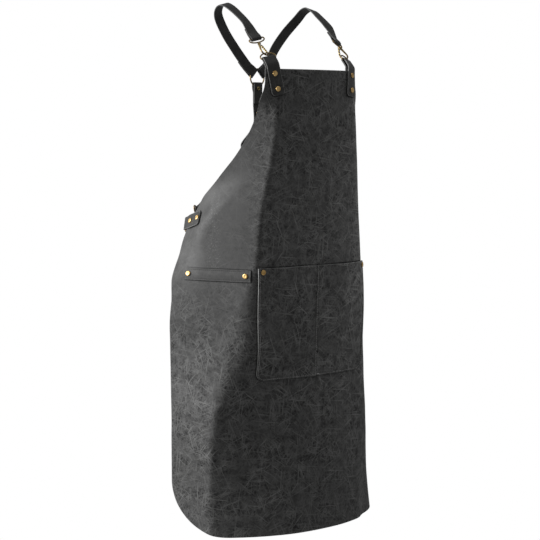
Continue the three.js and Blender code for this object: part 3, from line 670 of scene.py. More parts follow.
def catmull(points, steps):
    """A centripetal spline through points, with the knot number of each sample."""
    points = np.asarray(points, float)
    ends = np.vstack([2 * points[0] - points[1], points, 2 * points[-1] - points[-2]])
    samples = []
    knots = []
    for k in range(len(points) - 1):
        p0, p1, p2, p3 = ends[k:k + 4]
        spans = np.linalg.norm(np.diff(ends[k:k + 4], axis=0), axis=1)
        d0, d1, d2 = np.sqrt(np.maximum(spans, SHORTEST))
        m1 = d1 * ((p1 - p0) / d0 - (p2 - p0) / (d0 + d1) + (p2 - p1) / d1)
        m2 = d1 * ((p2 - p1) / d1 - (p3 - p1) / (d1 + d2) + (p3 - p2) / d2)
        for t in np.arange(steps) / steps:
            h = (2 * t**3 - 3 * t**2 + 1, t**3 - 2 * t**2 + t, 3 * t**2 - 2 * t**3, t**3 - t**2)
            samples.append(h[0] * p1 + h[1] * m1 + h[2] * p2 + h[3] * m2)
            knots.append(k + t)
    return np.vstack([samples, points[-1]]), np.array([*knots, len(points) - 1.0])


Flat = namedtuple("Flat", "origin across axis normal")


def flat_frame(origin, across, axis):
    """A frame for flat wire pieces: across and axis are unit vectors in its plane."""
    return Flat(origin, across, axis, np.cross(across, axis))


def add_wire(name, stations, flat, material, closed=False):
    """A round wire along a flat path. Each station has its place a, b in the frame and its radius r."""
    stations = np.asarray(stations, float)
    if not closed:
        first = stations[0] - (stations[1] - stations[0]) * CAP_STEP
        last = stations[-1] - (stations[-2] - stations[-1]) * CAP_STEP
        first[2] = CAP_SHARE * stations[0][2]
        last[2] = CAP_SHARE * stations[-1][2]
        stations = np.vstack([first, stations, last])
    centre = flat.origin + np.outer(stations[:, 0], flat.across) + np.outer(stations[:, 1], flat.axis)
    if closed:
        tangent = np.roll(centre, -1, axis=0) - np.roll(centre, 1, axis=0)
    else:
        tangent = np.gradient(centre, axis=0)
    outward = np.cross(unit(tangent), flat.normal)
    angle = around(WIRE_SIDES)
    ring = outward[:, None, :] * np.cos(angle)[None, :, None] + flat.normal * np.sin(angle)[None, :, None]
    points = (centre[:, None, :] + ring * stations[:, 2][:, None, None]).reshape(-1, 3)
    index = np.arange(len(points)).reshape(-1, WIRE_SIDES)
    drawn = ring_faces(np.vstack([index, index[:1]]) if closed else index)
    faces = turned_out(points, drawn)
    if closed:
        return add_object(name, points, faces, [material])
    caps = [index[0][::-1].tolist(), index[-1].tolist()]
    if (faces != drawn).any():
        caps = [cap[::-1] for cap in caps]
    faces = [*faces.tolist(), *caps]
    rounded = [len(face) == 4 for face in faces]
    return add_object(name, points, faces, [material], smooth_faces=rounded)


def add_turned(name, profile, point, normal, material):
    """A turned shape seated on a face."""
    normal = unit(normal)
    side = square_to(normal, TURNED_GUIDE)
    angle = around(TURNED_SIDES)
    spokes = np.outer(np.cos(angle), side) + np.outer(np.sin(angle), np.cross(normal, side))
    seat = point + normal * CLEAR
    points = []
    rings = []
    for row in profile:
        if row.r == 0:
            rings.append([len(points)] * TURNED_SIDES)
            points.append(seat + normal * row.h)
        else:
            rings.append(list(range(len(points), len(points) + TURNED_SIDES)))
            points.extend(seat + normal * row.h + spokes * row.r)
    faces = [list(dict.fromkeys(corners)) for corners in ring_faces(np.array(rings)).tolist()]
    return add_object(name, points, faces, [material])


def add_stitches(name, lines, material):
    """Rows of sewing stitches. Each line is a list of points and the face normals there."""
    points = []
    faces = []
    for path, normals in lines:
        run = run_along(path)
        for at in np.arange(STITCH_PITCH / 2, run[-1], STITCH_PITCH):
            middle = pick(path, run, at)
            along = unit(pick(path, run, at + PROBE) - pick(path, run, at - PROBE))
            up = square_to(along, pick(normals, run, at))
            side = np.cross(along, up)
            start = len(points)
            for share, size in STITCH_RINGS:
                bow = STITCH_RADIUS * (STITCH_BOW * (1 - (2 * share) ** 2) - STITCH_SINK)
                centre = middle + along * share * STITCH_LENGTH + up * bow
                for angle in around(STITCH_SIDES):
                    spoke = side * math.cos(angle) * STITCH_FLATTEN + up * math.sin(angle)
                    points.append(centre + spoke * size * STITCH_RADIUS)
            rings = np.arange(start, len(points)).reshape(-1, STITCH_SIDES)
            faces.extend(ring_faces(rings).tolist())
            faces.extend([rings[0][::-1].tolist(), rings[-1].tolist()])
    return add_object(name, points, faces, [material])


def settle(thing, nodes, body="apron"):
    """The piece rides on a body and stands for CAD nodes, which are hidden."""
    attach(thing, body)
    if nodes:
        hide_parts(*nodes)
    return thing


def add_panel(node, s, drop, top, bottom, pattern, materials, round_edge, worn_and_lit_bottom=True):
    """A sheet that lies on the leather, from the heights of its outer and inner face there."""
    uv = np.stack([s, drop], axis=2) + pattern
    faces = [off_face(s, drop, height) for height in (top, bottom)]
    sheet = add_sheet(f"{node}_leather", *faces, uv, materials, round_edge, worn_and_lit_bottom)
    return settle(sheet, [node])


StripRow = namedtuple("StripRow", "along height up half")


def add_folded(node, rows, place, columns, pattern, materials, round_edge):
    """A folded strip of leather. Each row has its place along and off the strip's line, the direction
    of the outer face there and half its width."""
    across = np.linspace(-1, 1, columns)
    faces = []
    for lift in (STRAP_WALL / 2, -STRAP_WALL / 2):
        face = []
        for row in rows:
            along = row.along + lift * row.up[0]
            height = row.height + lift * row.up[1]
            face.append([place(along, row.half * w, height) for w in across])
        faces.append(np.array(face))
    run = run_along([(row.along, row.height) for row in rows])
    uv = np.array([[(row.half * w, at) for w in across] for row, at in zip(rows, run)]) + pattern
    strip = add_sheet(f"{node}_leather", *faces, uv, materials, round_edge)
    settle(strip, [node])


# Materials

def fill(tree, node, inputs):
    """Inputs of a node, given as values or as sockets to link."""
    for key, value in inputs.items():
        if isinstance(value, bpy.types.NodeSocket):
            tree.links.new(value, node.inputs[key])
        else:
            node.inputs[key].default_value = value


def put(tree, kind, inputs, **settings):
    """A new node with its settings and inputs."""
    node = tree.nodes.new(kind)
    for key, value in settings.items():
        setattr(node, key, value)
    fill(tree, node, inputs)
    return node


def opaque(colour):
    """A colour as an input, from a socket or from red, green and blue."""
    return (*colour, 1) if isinstance(colour, tuple) else colour


def shaded(colour, share):
    return tuple(share * c for c in colour)


class Paint:
    """A material in the making. Its methods add nodes and give back the sockets of their results."""

    def __init__(self, name):
        self.material = bpy.data.materials.new(name)
        self.material.use_nodes = True
        self.tree = self.material.node_tree

    def put(self, kind, inputs, **settings):
        return put(self.tree, kind, inputs, **settings)

    def on_leather(self):
        """The leather's own flat coordinates, in metres."""
        return self.put("ShaderNodeUVMap", {}, uv_map="leather").outputs["UV"]

    def in_space(self):
        return self.put("ShaderNodeTexCoord", {}).outputs["Object"]

    def ramp(self, value, low, high, start=0, end=1):
        """The value's range from low to high, spread over start to end and cut off outside it."""
        inputs = {"Value": value, "From Min": low, "From Max": high, "To Min": start, "To Max": end}
        return self.put("ShaderNodeMapRange", inputs, clamp=True).outputs["Result"]

    def window(self, value, low, high, soft):
        """1 between low and high, fading to 0 over a soft border outside them."""
        return self.times(self.ramp(value, low - soft, low), self.ramp(value, high, high + soft, 1, 0))

    def number(self, operation, *values):
        return self.put("ShaderNodeMath", dict(enumerate(values)), operation=operation).outputs[0]

    def times(self, a, b):
        return self.number("MULTIPLY", a, b)

    def most(self, layers):
        """The greatest of several layers at each point."""
        top = layers[0]
        for layer in layers[1:]:
            top = self.number("MAXIMUM", top, layer)
        return top

    def vector(self, operation, *values):
        return self.put("ShaderNodeVectorMath", dict(enumerate(values)), operation=operation).outputs

    def noise(self, coords, pattern):
        inputs = {"Vector": coords, "Scale": pattern.scale}
        inputs.update({"Detail": pattern.detail, "Roughness": pattern.rough})
        return self.put("ShaderNodeTexNoise", inputs).outputs

    def pattern(self, coords, pattern):
        return self.ramp(self.noise(coords, pattern)["Fac"], *pattern.spread)

    def warped(self, coords):
        """Coordinates pushed about by noise, so that a pattern loses its regular look."""
        centred = self.vector("SUBTRACT", self.noise(coords, WARP)["Color"], (0.5, 0.5, 0.5))[0]
        inputs = {0: centred, "Scale": WARP_REACH}
        push = self.put("ShaderNodeVectorMath", inputs, operation="SCALE").outputs[0]
        return self.vector("ADD", coords, push)[0]

    def mapped(self, coords, location, degrees, scale=(1, 1, 1)):
        """Coordinates in a frame that is moved, turned and scaled."""
        inputs = {"Vector": coords, "Location": location, "Scale": scale}
        inputs["Rotation"] = (0, 0, math.radians(degrees))
        return self.put("ShaderNodeMapping", inputs, vector_type="TEXTURE").outputs[0]

    def blend(self, share, a, b):
        inputs = {0: share, 6: opaque(a), 7: opaque(b)}
        return self.put("ShaderNodeMix", inputs, data_type="RGBA").outputs[2]

    def bump(self, height, strength, reach):
        inputs = {"Height": height, "Strength": strength, "Distance": reach}
        return self.put("ShaderNodeBump", inputs).outputs["Normal"]

    def finish(self, looks):
        """The material, with the inputs of its shader."""
        fill(self.tree, self.tree.nodes["Principled BSDF"], looks)
        return self.material


def crease_marks(paint, coords):
    """Pale straight creases that cross each other in several directions."""
    layers = []
    for k, degrees in enumerate(CREASE_DIRECTIONS):
        length, width = CREASE_SIZES[k % len(CREASE_SIZES)]
        turned = paint.mapped(coords, (degrees, 0, 0), degrees, (length, width, 1))
        layers.append(paint.pattern(turned, CREASES))
    return paint.most(layers)


def painted_seam_shadow(paint, place):
    """A painted contact shadow on the body round each piece that is sewn or riveted to it, standing in
    for the shade in the gap under its edge: 1 at the piece's outline, 0 a little outside it. place
    holds the flat coordinates."""
    aside = paint.number("ABSOLUTE", place["X"])
    tapered = paint.times(aside, paint.ramp(place["Y"], *POCKET_TAPER))
    across = {"both": aside, "right": place["X"], "pocket": tapered}
    layers = []
    for line in SEAM_LINES:
        flat = paint.put("ShaderNodeCombineXYZ", {"X": across[line.across], "Y": place["Y"]}).outputs[0]
        local = paint.mapped(flat, (*line.centre, 0), line.degrees)
        core = tuple(half - line.corner for half in line.half)
        beyond = paint.vector("SUBTRACT", paint.vector("ABSOLUTE", local)[0], (*core, 0))[0]
        distance = paint.vector("LENGTH", paint.vector("MAXIMUM", beyond, (0, 0, 0))[0])["Value"]
        near, far = (line.corner + reach for reach in SEAM_SHADOW_REACH)
        layers.append(paint.ramp(distance, near, far, 1, 0))
    return paint.most(layers)


def scuff_marks(paint, coords, place):
    """Pale flecks where the leather is rubbed at the waist and along the fold between front and side."""
    flecks = paint.pattern(coords, FLECKS)
    layers = []
    for area in SCUFFED_AREAS:
        across = paint.window(place["X"], *area.across, SCUFF_FADE[0])
        layers.append(paint.times(across, paint.window(place["Y"], *area.down, SCUFF_FADE[1])))
    return paint.times(flecks, paint.most(layers))


def leather_material(name, colours, border_colour, roughness, on_body):
    """Pull-up leather with a worn face: dark spots and cells, pale criss-cross creases, a fine grain
    and rubbed borders. On the body, the upper part of the sides is calmer than the front, and a
    painted contact shadow runs round the pieces sewn or riveted on."""
    dark, plain, pale = colours
    paint = Paint(name)
    coords = paint.on_leather()
    place = paint.put("ShaderNodeSeparateXYZ", {"Vector": coords}).outputs
    bent = paint.warped(coords)
    worn = paint.pattern(coords, WORN_PATCHES)
    if on_body:
        aside = paint.number("ABSOLUTE", place["X"])
        calm = paint.times(paint.ramp(aside, *CALM_ASIDE), paint.ramp(place["Y"], *CALM_ABOVE))
        worn = paint.times(worn, paint.ramp(calm, *CALM_WEAR))
        worn = paint.times(worn, paint.ramp(place["Y"], *BIB_WEAR))
    else:
        worn = paint.times(worn, STRAP_WEAR)
    share = paint.number("ADD", paint.times(paint.pattern(bent, MOTTLE), worn), 0.5)
    colour = paint.blend(share, shaded(plain, MOTTLE_DARK), shaded(plain, MOTTLE_LIGHT))
    inputs = {"Vector": bent, "Scale": CELL_SCALE, "Randomness": 1}
    from_edge = paint.put("ShaderNodeTexVoronoi", inputs, feature="DISTANCE_TO_EDGE").outputs["Distance"]
    cells = paint.times(paint.ramp(from_edge, *CELL_EDGE), paint.pattern(coords, CELL_PATCHES))
    sunk = paint.times(paint.most([cells, paint.pattern(bent, SPECKS)]), worn)
    colour = paint.blend(paint.times(sunk, SUNK_SHARE), colour, dark)
    marks = paint.times(crease_marks(paint, bent), worn)
    colour = paint.blend(paint.times(marks, CREASE_SHARE), colour, pale)
    if on_body:
        colour = paint.blend(paint.times(scuff_marks(paint, coords, place), SCUFF_SHARE), colour, pale)
    border = paint.put("ShaderNodeAttribute", {}, attribute_name="wear").outputs["Fac"]
    rubbed = paint.times(paint.ramp(border, *BORDER_RANGE), paint.pattern(coords, RUBBING))
    colour = paint.blend(rubbed, colour, border_colour)
    # Painted shadow: a dark line round the pocket, strip and tabs stands in for the shade under their
    # edges
    if on_body:
        shade = paint.times(painted_seam_shadow(paint, place), SEAM_SHADOW_SHARE)
        colour = paint.blend(shade, colour, shaded(dark, SEAM_SHADOW_DARK))
    grain = paint.times(paint.noise(coords, GRAIN)["Fac"], GRAIN_HEIGHT)
    wrinkles = paint.times(paint.noise(bent, WRINKLES)["Fac"], WRINKLE_HEIGHT)
    height = paint.number("ADD", grain, wrinkles)
    height = paint.number("ADD", height, paint.times(marks, CREASE_HEIGHT))
    height = paint.number("SUBTRACT", height, paint.times(sunk, SUNK_DEPTH))
    return paint.finish({
        "Base Color": colour,
        "Roughness": paint.ramp(share, 0, 1, roughness + ROUGHER, roughness - SMOOTHER),
        "Specular IOR Level": 0.16,
        "Normal": paint.bump(height, BODY_BUMP if on_body else STRAP_BUMP, BUMP_REACH),
    })


def suede_material(name, dark, light):
    """The leather's napped inner face."""
    paint = Paint(name)
    coords = paint.on_leather()
    nap = paint.noise(coords, NAP)["Fac"]
    share = paint.times(paint.ramp(nap, *NAP.spread), paint.pattern(coords, NAP_CLOUD))
    return paint.finish({
        "Base Color": paint.blend(share, dark, light),
        "Roughness": 0.95,
        "Specular IOR Level": 0.15,
        "Normal": paint.bump(nap, 0.5, 0.0005),
    })


def edge_material(name, dark, light):
    """The cut and rubbed edge of the leather."""
    paint = Paint(name)
    coords = paint.in_space()
    wear = paint.noise(coords, EDGE_WEAR)["Fac"]
    share = paint.times(paint.pattern(coords, FIBRE), paint.ramp(wear, *EDGE_WEAR.spread))
    return paint.finish({
        "Base Color": paint.blend(share, dark, light),
        "Roughness": paint.ramp(wear, *EDGE_ROUGHNESS),
        "Specular IOR Level": 0.2,
    })


def brass_material(name, bright, tarnish, share, roughness):
    """Antique brass: bright where it is rubbed, brown where it has tarnished."""
    paint = Paint(name)
    coords = paint.in_space()
    cloud = paint.noise(coords, BRASS_CLOUD)["Fac"]
    speck = paint.noise(coords, BRASS_SPECK)["Fac"]
    age = paint.number("ADD", paint.times(cloud, CLOUD_SHARE), paint.times(speck, SPECK_SHARE))
    aged = paint.ramp(age, share - AGE_SOFTNESS, share + AGE_SOFTNESS)
    return paint.finish({
        "Base Color": paint.blend(aged, bright, tarnish),
        "Metallic": 1,
        "Roughness": paint.ramp(aged, 0, 1, roughness, roughness + AGE_ROUGHNESS),
        "Normal": paint.bump(speck, 0.05, 0.0001),
    })


def thread_material(name, dark, light):
    paint = Paint(name)
    twist = paint.pattern(paint.in_space(), THREAD_TWIST)
    return paint.finish({"Base Color": paint.blend(twist, dark, light), "Roughness": 0.6})


# Outlines of the pieces on the body, round which a contact shadow is painted, in metres of the
# flat leather. The pocket's coordinates are stretched so that its slanting sides become upright.
SeamLine = namedtuple("SeamLine", "across centre half corner degrees")
POCKET_MIDDLE = (POCKET_HALF_TOP + POCKET_HALF_BOTTOM) / 2
POCKET_TAPER = (
    POCKET_TOP * MM,
    POCKET_BOTTOM * MM,
    POCKET_MIDDLE / POCKET_HALF_TOP,
    POCKET_MIDDLE / POCKET_HALF_BOTTOM,
)


def seam_line(across, front, back, top, bottom, corner):
    centre = ((front + back) / 2 * MM, (top + bottom) / 2 * MM)
    half = (abs(back - front) / 2 * MM, (bottom - top) / 2 * MM)
    return SeamLine(across, centre, half, corner * MM, 0)


def tab_line(tab):
    """The outline of a tab's front leg."""
    lean = math.radians(tab.lean)
    centre = (tab.s - tab.front / 2 * math.sin(lean), tab.drop + tab.front / 2 * math.cos(lean))
    half = (TAB_WIDTH / 2 * MM, tab.front / 2 * MM)
    return SeamLine("both", tuple(c * MM for c in centre), half, TAB_CORNER * MM, tab.lean)


SEAM_LINES = [
    seam_line("pocket", -POCKET_MIDDLE, POCKET_MIDDLE, POCKET_TOP, POCKET_BOTTOM, POCKET_CORNER),
    seam_line("right", -STRIP_BACK, -STRIP_FRONT, STRIP_TOP, STRIP_BOTTOM, 0),
    tab_line(SHOULDER_TAB),
    tab_line(WAIST_TAB),
]

# Rubbed areas of the body, in metres of the flat leather
ScuffedArea = namedtuple("ScuffedArea", "across down")
SCUFFED_AREAS = table(
    ScuffedArea,
    ((-0.234, -0.222), (0.24, 0.35)),
    ((-0.136, -0.126), (0.2, 0.34)),
)

BODY_COLOURS = ((0.005, 0.005, 0.005), (0.05, 0.05, 0.0495), (0.125, 0.125, 0.123))
STRAP_COLOURS = ((0.012, 0.012, 0.012), (0.034, 0.034, 0.0335), (0.1, 0.1, 0.098))
BODY_LEATHER = leather_material("body_leather", BODY_COLOURS, (0.125, 0.125, 0.123), 0.55, True)
STRAP_LEATHER = leather_material("strap_leather", STRAP_COLOURS, (0.06, 0.06, 0.059), 0.46, False)
TAB_LEATHER = leather_material("tab_leather", STRAP_COLOURS, (0.2, 0.2, 0.197), 0.46, False)
SUEDE = suede_material("suede", (0.012, 0.0118, 0.0115), (0.045, 0.044, 0.042))
EDGE = edge_material("leather_edge", (0.06, 0.06, 0.059), (0.19, 0.188, 0.184))
# Lighter cut edge for the pocket: wear, and a painted highlight where the pocket's edge faces the light
WORN_AND_LIT_EDGE = edge_material("worn_and_lit_edge", (0.15, 0.15, 0.148), (0.34, 0.34, 0.335))
STRAP_EDGE = edge_material("strap_edge", (0.03, 0.03, 0.0295), (0.07, 0.07, 0.069))
RIVET_BRASS = brass_material("rivet_brass", (0.72, 0.5, 0.22), (0.45, 0.28, 0.1), 0.55, 0.36)
HOOK_BRASS = brass_material("hook_brass", (0.3, 0.22, 0.1), (0.14, 0.1, 0.05), 0.45, 0.32)
GATE_BRASS = brass_material("gate_brass", (0.4, 0.31, 0.13), (0.2, 0.15, 0.06), 0.52, 0.34)
THREAD = thread_material("thread", (0.08, 0.08, 0.079), (0.22, 0.218, 0.214))
DARK_THREAD = thread_material("dark_thread", (0.006, 0.006, 0.006), (0.022, 0.022, 0.0215))
BODY_MATERIALS = [BODY_LEATHER, SUEDE, EDGE]
POCKET_MATERIALS = [BODY_LEATHER, SUEDE, WORN_AND_LIT_EDGE]
TAB_MATERIALS = [TAB_LEATHER, TAB_LEATHER, EDGE]
STRAP_MATERIALS = [STRAP_LEATHER, STRAP_LEATHER, STRAP_EDGE]


def graded(start, end, places, fine, coarse, reach):
    """Positions from start to end, closer together within reach of the places."""
    at = [start]
    while at[-1] < end:
        near = min(abs(at[-1] - place) for place in places) < reach
        at.append(at[-1] + (fine if near else coarse))
    at[-1] = end
    return np.array(at)


def flat_area(half, drops):
    """Area in square metres of a flat piece, from its half width at each drop."""
    width = 2 * half(drops)
    return float(np.sum((width[1:] + width[:-1]) / 2 * np.diff(drops))) * MM * MM


def cut_grid(half, upper, bottom, corner, steps, shares):
    """Drops of the rows of a piece with rounded bottom corners, then s and drop over its grid."""
    turn = np.linspace(0, math.pi / 2, steps)
    drops = np.concatenate([upper, bottom - corner * (1 - np.sin(turn))])
    s = half(drops)[:, None] * shares[None, :]
    return drops, s, np.repeat(drops[:, None], len(shares), axis=1)


# Leather body: bib and skirt in one piece

def make_body():
    upper = np.arange(0, BODY_LENGTH - CORNER_UP, BODY_ROW, dtype=float)
    shares = np.linspace(-1, 1, BODY_COLUMNS + 1)
    drops, s, drop = cut_grid(cut_half, upper, BODY_LENGTH, CORNER_UP, HEM_ROWS, shares)
    body = add_panel("apron_body", s, drop, 0, -BODY_WALL, (0, 0), BODY_MATERIALS, BODY_ROUND)
    flat_area(cut_half, drops)


# Front pocket: a patch sewn on at its sides, bottom and middle, open along its top edge

def pocket_half(drop):
    down = (drop - POCKET_TOP) / (POCKET_BOTTOM - POCKET_TOP)
    into = np.clip(drop - (POCKET_BOTTOM - POCKET_CORNER), 0, POCKET_CORNER)
    corner = POCKET_CORNER - np.sqrt(POCKET_CORNER**2 - into**2)
    return mix(POCKET_HALF_TOP, POCKET_HALF_BOTTOM, down) - corner


def pocket_inset(s, drop):
    """Distance in from the pocket's sewn sides and bottom."""
    return np.minimum(pocket_half(drop) - np.abs(s), POCKET_BOTTOM - drop)


def pocket_lift(s, drop):
    """Height of the pocket's inner face off the leather, with dents along its seams."""
    share = np.clip(s / pocket_half(drop), -1, 1)
    down = (drop - POCKET_TOP) / (POCKET_BOTTOM - POCKET_TOP)
    gape = np.where(share < 0, POCKET_GAPE[-1], POCKET_GAPE[1])
    lift = SEAM_GAP + gape * np.sin(math.pi * share) ** 2 * (1 - down) ** GAPE_POWER
    edge_dent = EDGE_DENT * bell((pocket_inset(s, drop) - STITCH_INSET) / DENT_WIDTH)
    middle_dent = MIDDLE_DENT * bell(s / DENT_WIDTH)
    ridge = MIDDLE_RIDGE * bell((s - MIDDLE_RIDGE_AT) / DENT_WIDTH)
    return lift - np.maximum(edge_dent, middle_dent) + ridge


def pocket_top(s, drop):
    """Height of the pocket's outer face, with a turned hem along its sides and bottom."""
    hem = HEM_HEIGHT * smooth((HEM_WIDTH - pocket_inset(s, drop)) / HEM_STEP)
    return pocket_lift(s, drop) + PANEL_WALL + hem


def pocket_point(s, drop):
    s = np.asarray(s, float)
    drop = np.asarray(drop, float)
    return off_face(s, drop, pocket_top(s, drop))


def make_pocket():
    upper = np.linspace(POCKET_TOP, POCKET_BOTTOM - POCKET_CORNER, POCKET_ROWS)[:-1]
    shares = graded(-1, 1, (-1, 0, 1), POCKET_FINE, POCKET_COARSE, POCKET_FINE_REACH)
    drops, s, drop = cut_grid(pocket_half, upper, POCKET_BOTTOM, POCKET_CORNER, CORNER_STEPS, shares)
    faces = (pocket_top(s, drop), pocket_lift(s, drop))
    looks = (POCKET_PATTERN, POCKET_MATERIALS, PANEL_ROUND)
    # The pocket's bottom edge keeps the face colour: its lighter edge colour is partly a painted
    # highlight, which a downward edge doesn't catch
    pocket = add_panel("front_pocket", s, drop, *faces, *looks, worn_and_lit_bottom=False)
    area = flat_area(pocket_half, drops)
    make_pocket_stitches()


def make_pocket_stitches():
    side_drops = np.linspace(POCKET_TOP + STITCH_START, POCKET_BOTTOM - POCKET_CORNER, STITCH_SAMPLES)
    corner = np.radians(np.linspace(0, 90, CORNER_STEPS))
    radius = POCKET_CORNER - STITCH_INSET
    corner_s = POCKET_HALF_BOTTOM - POCKET_CORNER + radius * np.cos(corner)
    corner_drop = POCKET_BOTTOM - POCKET_CORNER + radius * np.sin(corner)
    s = np.concatenate([pocket_half(side_drops) - STITCH_INSET, corner_s])
    drop = np.concatenate([side_drops, corner_drop])
    along = np.linspace(-s[-1], s[-1], STITCH_SAMPLES)[1:-1]
    s = np.concatenate([-s, along, s[::-1]])
    drop = np.concatenate([drop, np.full(along.shape, drop[-1]), drop[::-1]])
    middle_drop = np.linspace(POCKET_TOP + STITCH_START, POCKET_BOTTOM - STITCH_INSET, STITCH_SAMPLES)
    middle_s = np.zeros(STITCH_SAMPLES)
    lines = [
        (pocket_point(s, drop), face_normal(s, drop)),
        (pocket_point(middle_s, middle_drop), face_normal(middle_s, middle_drop)),
    ]
    settle(add_stitches("front_pocket_stitches", lines, THREAD), [])


# Side strip on the wearer's right: a flat leather loop sewn along its edges and riveted at both ends

def strip_height(drop):
    from_edge = np.minimum(drop - STRIP_TOP, STRIP_BOTTOM - drop)
    dent = STRIP_DENT * bell((from_edge - STITCH_INSET) / STRIP_DENT_WIDTH)
    swell = STRIP_SWELL * bell((drop - STRIP_MIDDLE) / STRIP_SWELL_WIDTH)
    return SEAM_GAP + PANEL_WALL - dent + swell


def make_strip():
    s = np.linspace(-STRIP_BACK, -STRIP_FRONT, STRIP_COLUMNS)
    s, drop = np.meshgrid(s, np.linspace(STRIP_TOP, STRIP_BOTTOM, STRIP_ROWS))
    looks = (STRIP_PATTERN, BODY_MATERIALS, PANEL_ROUND)
    add_panel("side_strip", s, drop, strip_height(drop), SEAM_GAP, *looks)
    row = np.linspace(-STRIP_BACK + STITCH_START, -STRIP_FRONT - STITCH_START, STRIP_SAMPLES)
    lines = []
    for level in (STRIP_TOP + STITCH_INSET, STRIP_BOTTOM - STITCH_INSET):
        drops = np.full(row.shape, level)
        lines.append((off_face(row, drops, strip_height(drops)), face_normal(row, drops)))
    settle(add_stitches("side_strip_stitches", lines, DARK_THREAD), [])


# Tabs: leather strips folded over a D-ring's bar, with one leg on each face of the body.
# Along a tab, a is the distance past the body's edge. w runs across it and h lifts off the outer face.

class TabPlan:
    def __init__(self, tab, sign):
        lean = math.radians(tab.lean)
        self.tab = tab
        self.sign = sign
        self.heading = (sign * math.sin(lean), -math.cos(lean))
        self.width = (-sign * math.cos(lean), -math.sin(lean))
        self.edge = self.face(0, 0)
        normal = face_normal(*self.spot(0, 0))
        tangent = square_to(normal, self.face(PROBE, 0) - self.face(-PROBE, 0))
        self.level = square_to(normal, self.face(0, PROBE) - self.face(0, -PROBE))
        self.spine = [(self.edge, normal)]
        for k in range(1, int((tab.reach + TAB_WIDTH) / SPINE_STEP) + 1):
            bend = math.radians(tab.tilt) * smooth(k * SPINE_STEP / (TAB_BEND_SHARE * tab.reach))
            forward = tangent * math.cos(bend) - normal * math.sin(bend)
            lift = normal * math.cos(bend) + tangent * math.sin(bend)
            self.spine.append((self.spine[-1][0] + forward * SPINE_STEP, lift))
        end, self.outward = self.spine[round(tab.reach / SPINE_STEP)]
        self.bar = end - self.outward * BODY_WALL / 2

    def spot(self, a, w):
        s = self.sign * self.tab.s + a * self.heading[0] + w * self.width[0]
        return s, self.tab.drop + a * self.heading[1] + w * self.width[1]

    def face(self, a, w):
        return off_face(*self.spot(a, w))

    def place(self, a, w, h):
        if a <= 0:
            return off_face(*self.spot(a, w), h)
        k = int(a / SPINE_STEP)
        base = mix(self.spine[k][0], self.spine[k + 1][0], a / SPINE_STEP - k)
        bow = self.face(0, w) - (self.edge + self.level * w)
        return base + self.level * w + bow * (1 - smooth(a / TAB_FLATTEN)) + self.spine[k][1] * h


def tab_half_width(inset):
    into = max(0, TAB_CORNER - inset)
    return TAB_WIDTH / 2 - TAB_CORNER + math.sqrt(TAB_CORNER**2 - into**2)


def make_tab(node, plan):
    tab = plan.tab
    on_bar = WIRE + CLEAR + STRAP_WALL / 2
    walls = BODY_WALL / 2 + STRAP_WALL / 2
    on_leather = {1: walls + TAB_GAP, -1: walls + TAB_BACK_GAP}

    def leg(length, side):
        turn = np.linspace(0, math.pi / 2, TAB_CORNER_STEPS)
        rounded = TAB_CORNER * (1 - np.cos(turn))
        straight = np.arange(TAB_CORNER + TAB_ROW, length + tab.reach - TAB_ROW / 3, TAB_ROW)
        rows = []
        for inset in np.concatenate([rounded, straight]):
            a = inset - length
            h = side * mix(on_leather[side], on_bar, smooth(a / tab.reach))
            rows.append(StripRow(a, h, (0, side), tab_half_width(inset)))
        return rows

    bend = []
    for angle in np.linspace(0, math.pi, FOLD_STEPS + 1):
        up = (math.sin(angle), math.cos(angle))
        bend.append(StripRow(tab.reach + on_bar * up[0], on_bar * up[1], up, TAB_WIDTH / 2))
    rows = [*leg(tab.front, 1), *bend, *leg(tab.back, -1)[::-1]]
    place = lambda a, w, h: plan.place(a, w, h - BODY_WALL / 2)
    pattern = (TAB_PATTERN * plan.sign, tab.drop)
    add_folded(node, rows, place, TAB_COLUMNS, pattern, TAB_MATERIALS, TAB_ROUND)


# D-rings, hooks, rings and rivets

def add_brass_wire(node, stations, flat, material, closed=True, body="apron"):
    """A wire piece that stands for a CAD node."""
    settle(add_wire(f"{node}_brass", stations, flat, material, closed), [node], body)


def add_rivet(node, point, normal, profile=RIVET_PROFILE, material=RIVET_BRASS):
    """A rivet or another turned piece that stands for a CAD node."""
    settle(add_turned(f"{node}_brass", profile, point, normal, material), [node])


def bow_height(height, share):
    return mix(D_CORNER_HEIGHT, height, share)


def d_path(height):
    """A straight bar with rounded ends and a bow over it."""
    bar = D_BAR_SHARE * D_HALF_WIDTH
    corner = D_HALF_WIDTH - bar
    path = [(a, 0) for a in np.linspace(-bar, bar, D_BAR_STEPS)]
    for t in np.radians(np.linspace(-90, 0, D_CORNER_STEPS))[1:-1]:
        path.append((bar + corner * math.cos(t), D_CORNER_HEIGHT * (1 + math.sin(t))))
    for t in np.radians(np.linspace(0, 180, D_BOW_STEPS)):
        path.append((D_HALF_WIDTH * math.cos(t), bow_height(height, math.sin(t))))
    for t in np.radians(np.linspace(180, 270, D_CORNER_STEPS))[1:-1]:
        path.append((-bar + corner * math.cos(t), D_CORNER_HEIGHT * (1 + math.sin(t))))
    return [Station(a, b, WIRE) for a, b in path]


def ribbed(stations):
    """The gate's stations with shallow ribs along its middle."""
    share = np.linspace(0, 1, len(stations))
    inside = smooth(share / RIB_FADE) * smooth((1 - share) / RIB_FADE)
    ribs = 1 + RIB_DEPTH * inside * (np.cos(2 * math.pi * GATE_RIBS * share) - RIB_SHIFT)
    stations = stations.copy()
    stations[:, 2] *= ribs
    return stations


Hook = namedtuple("Hook", "bar pull level")


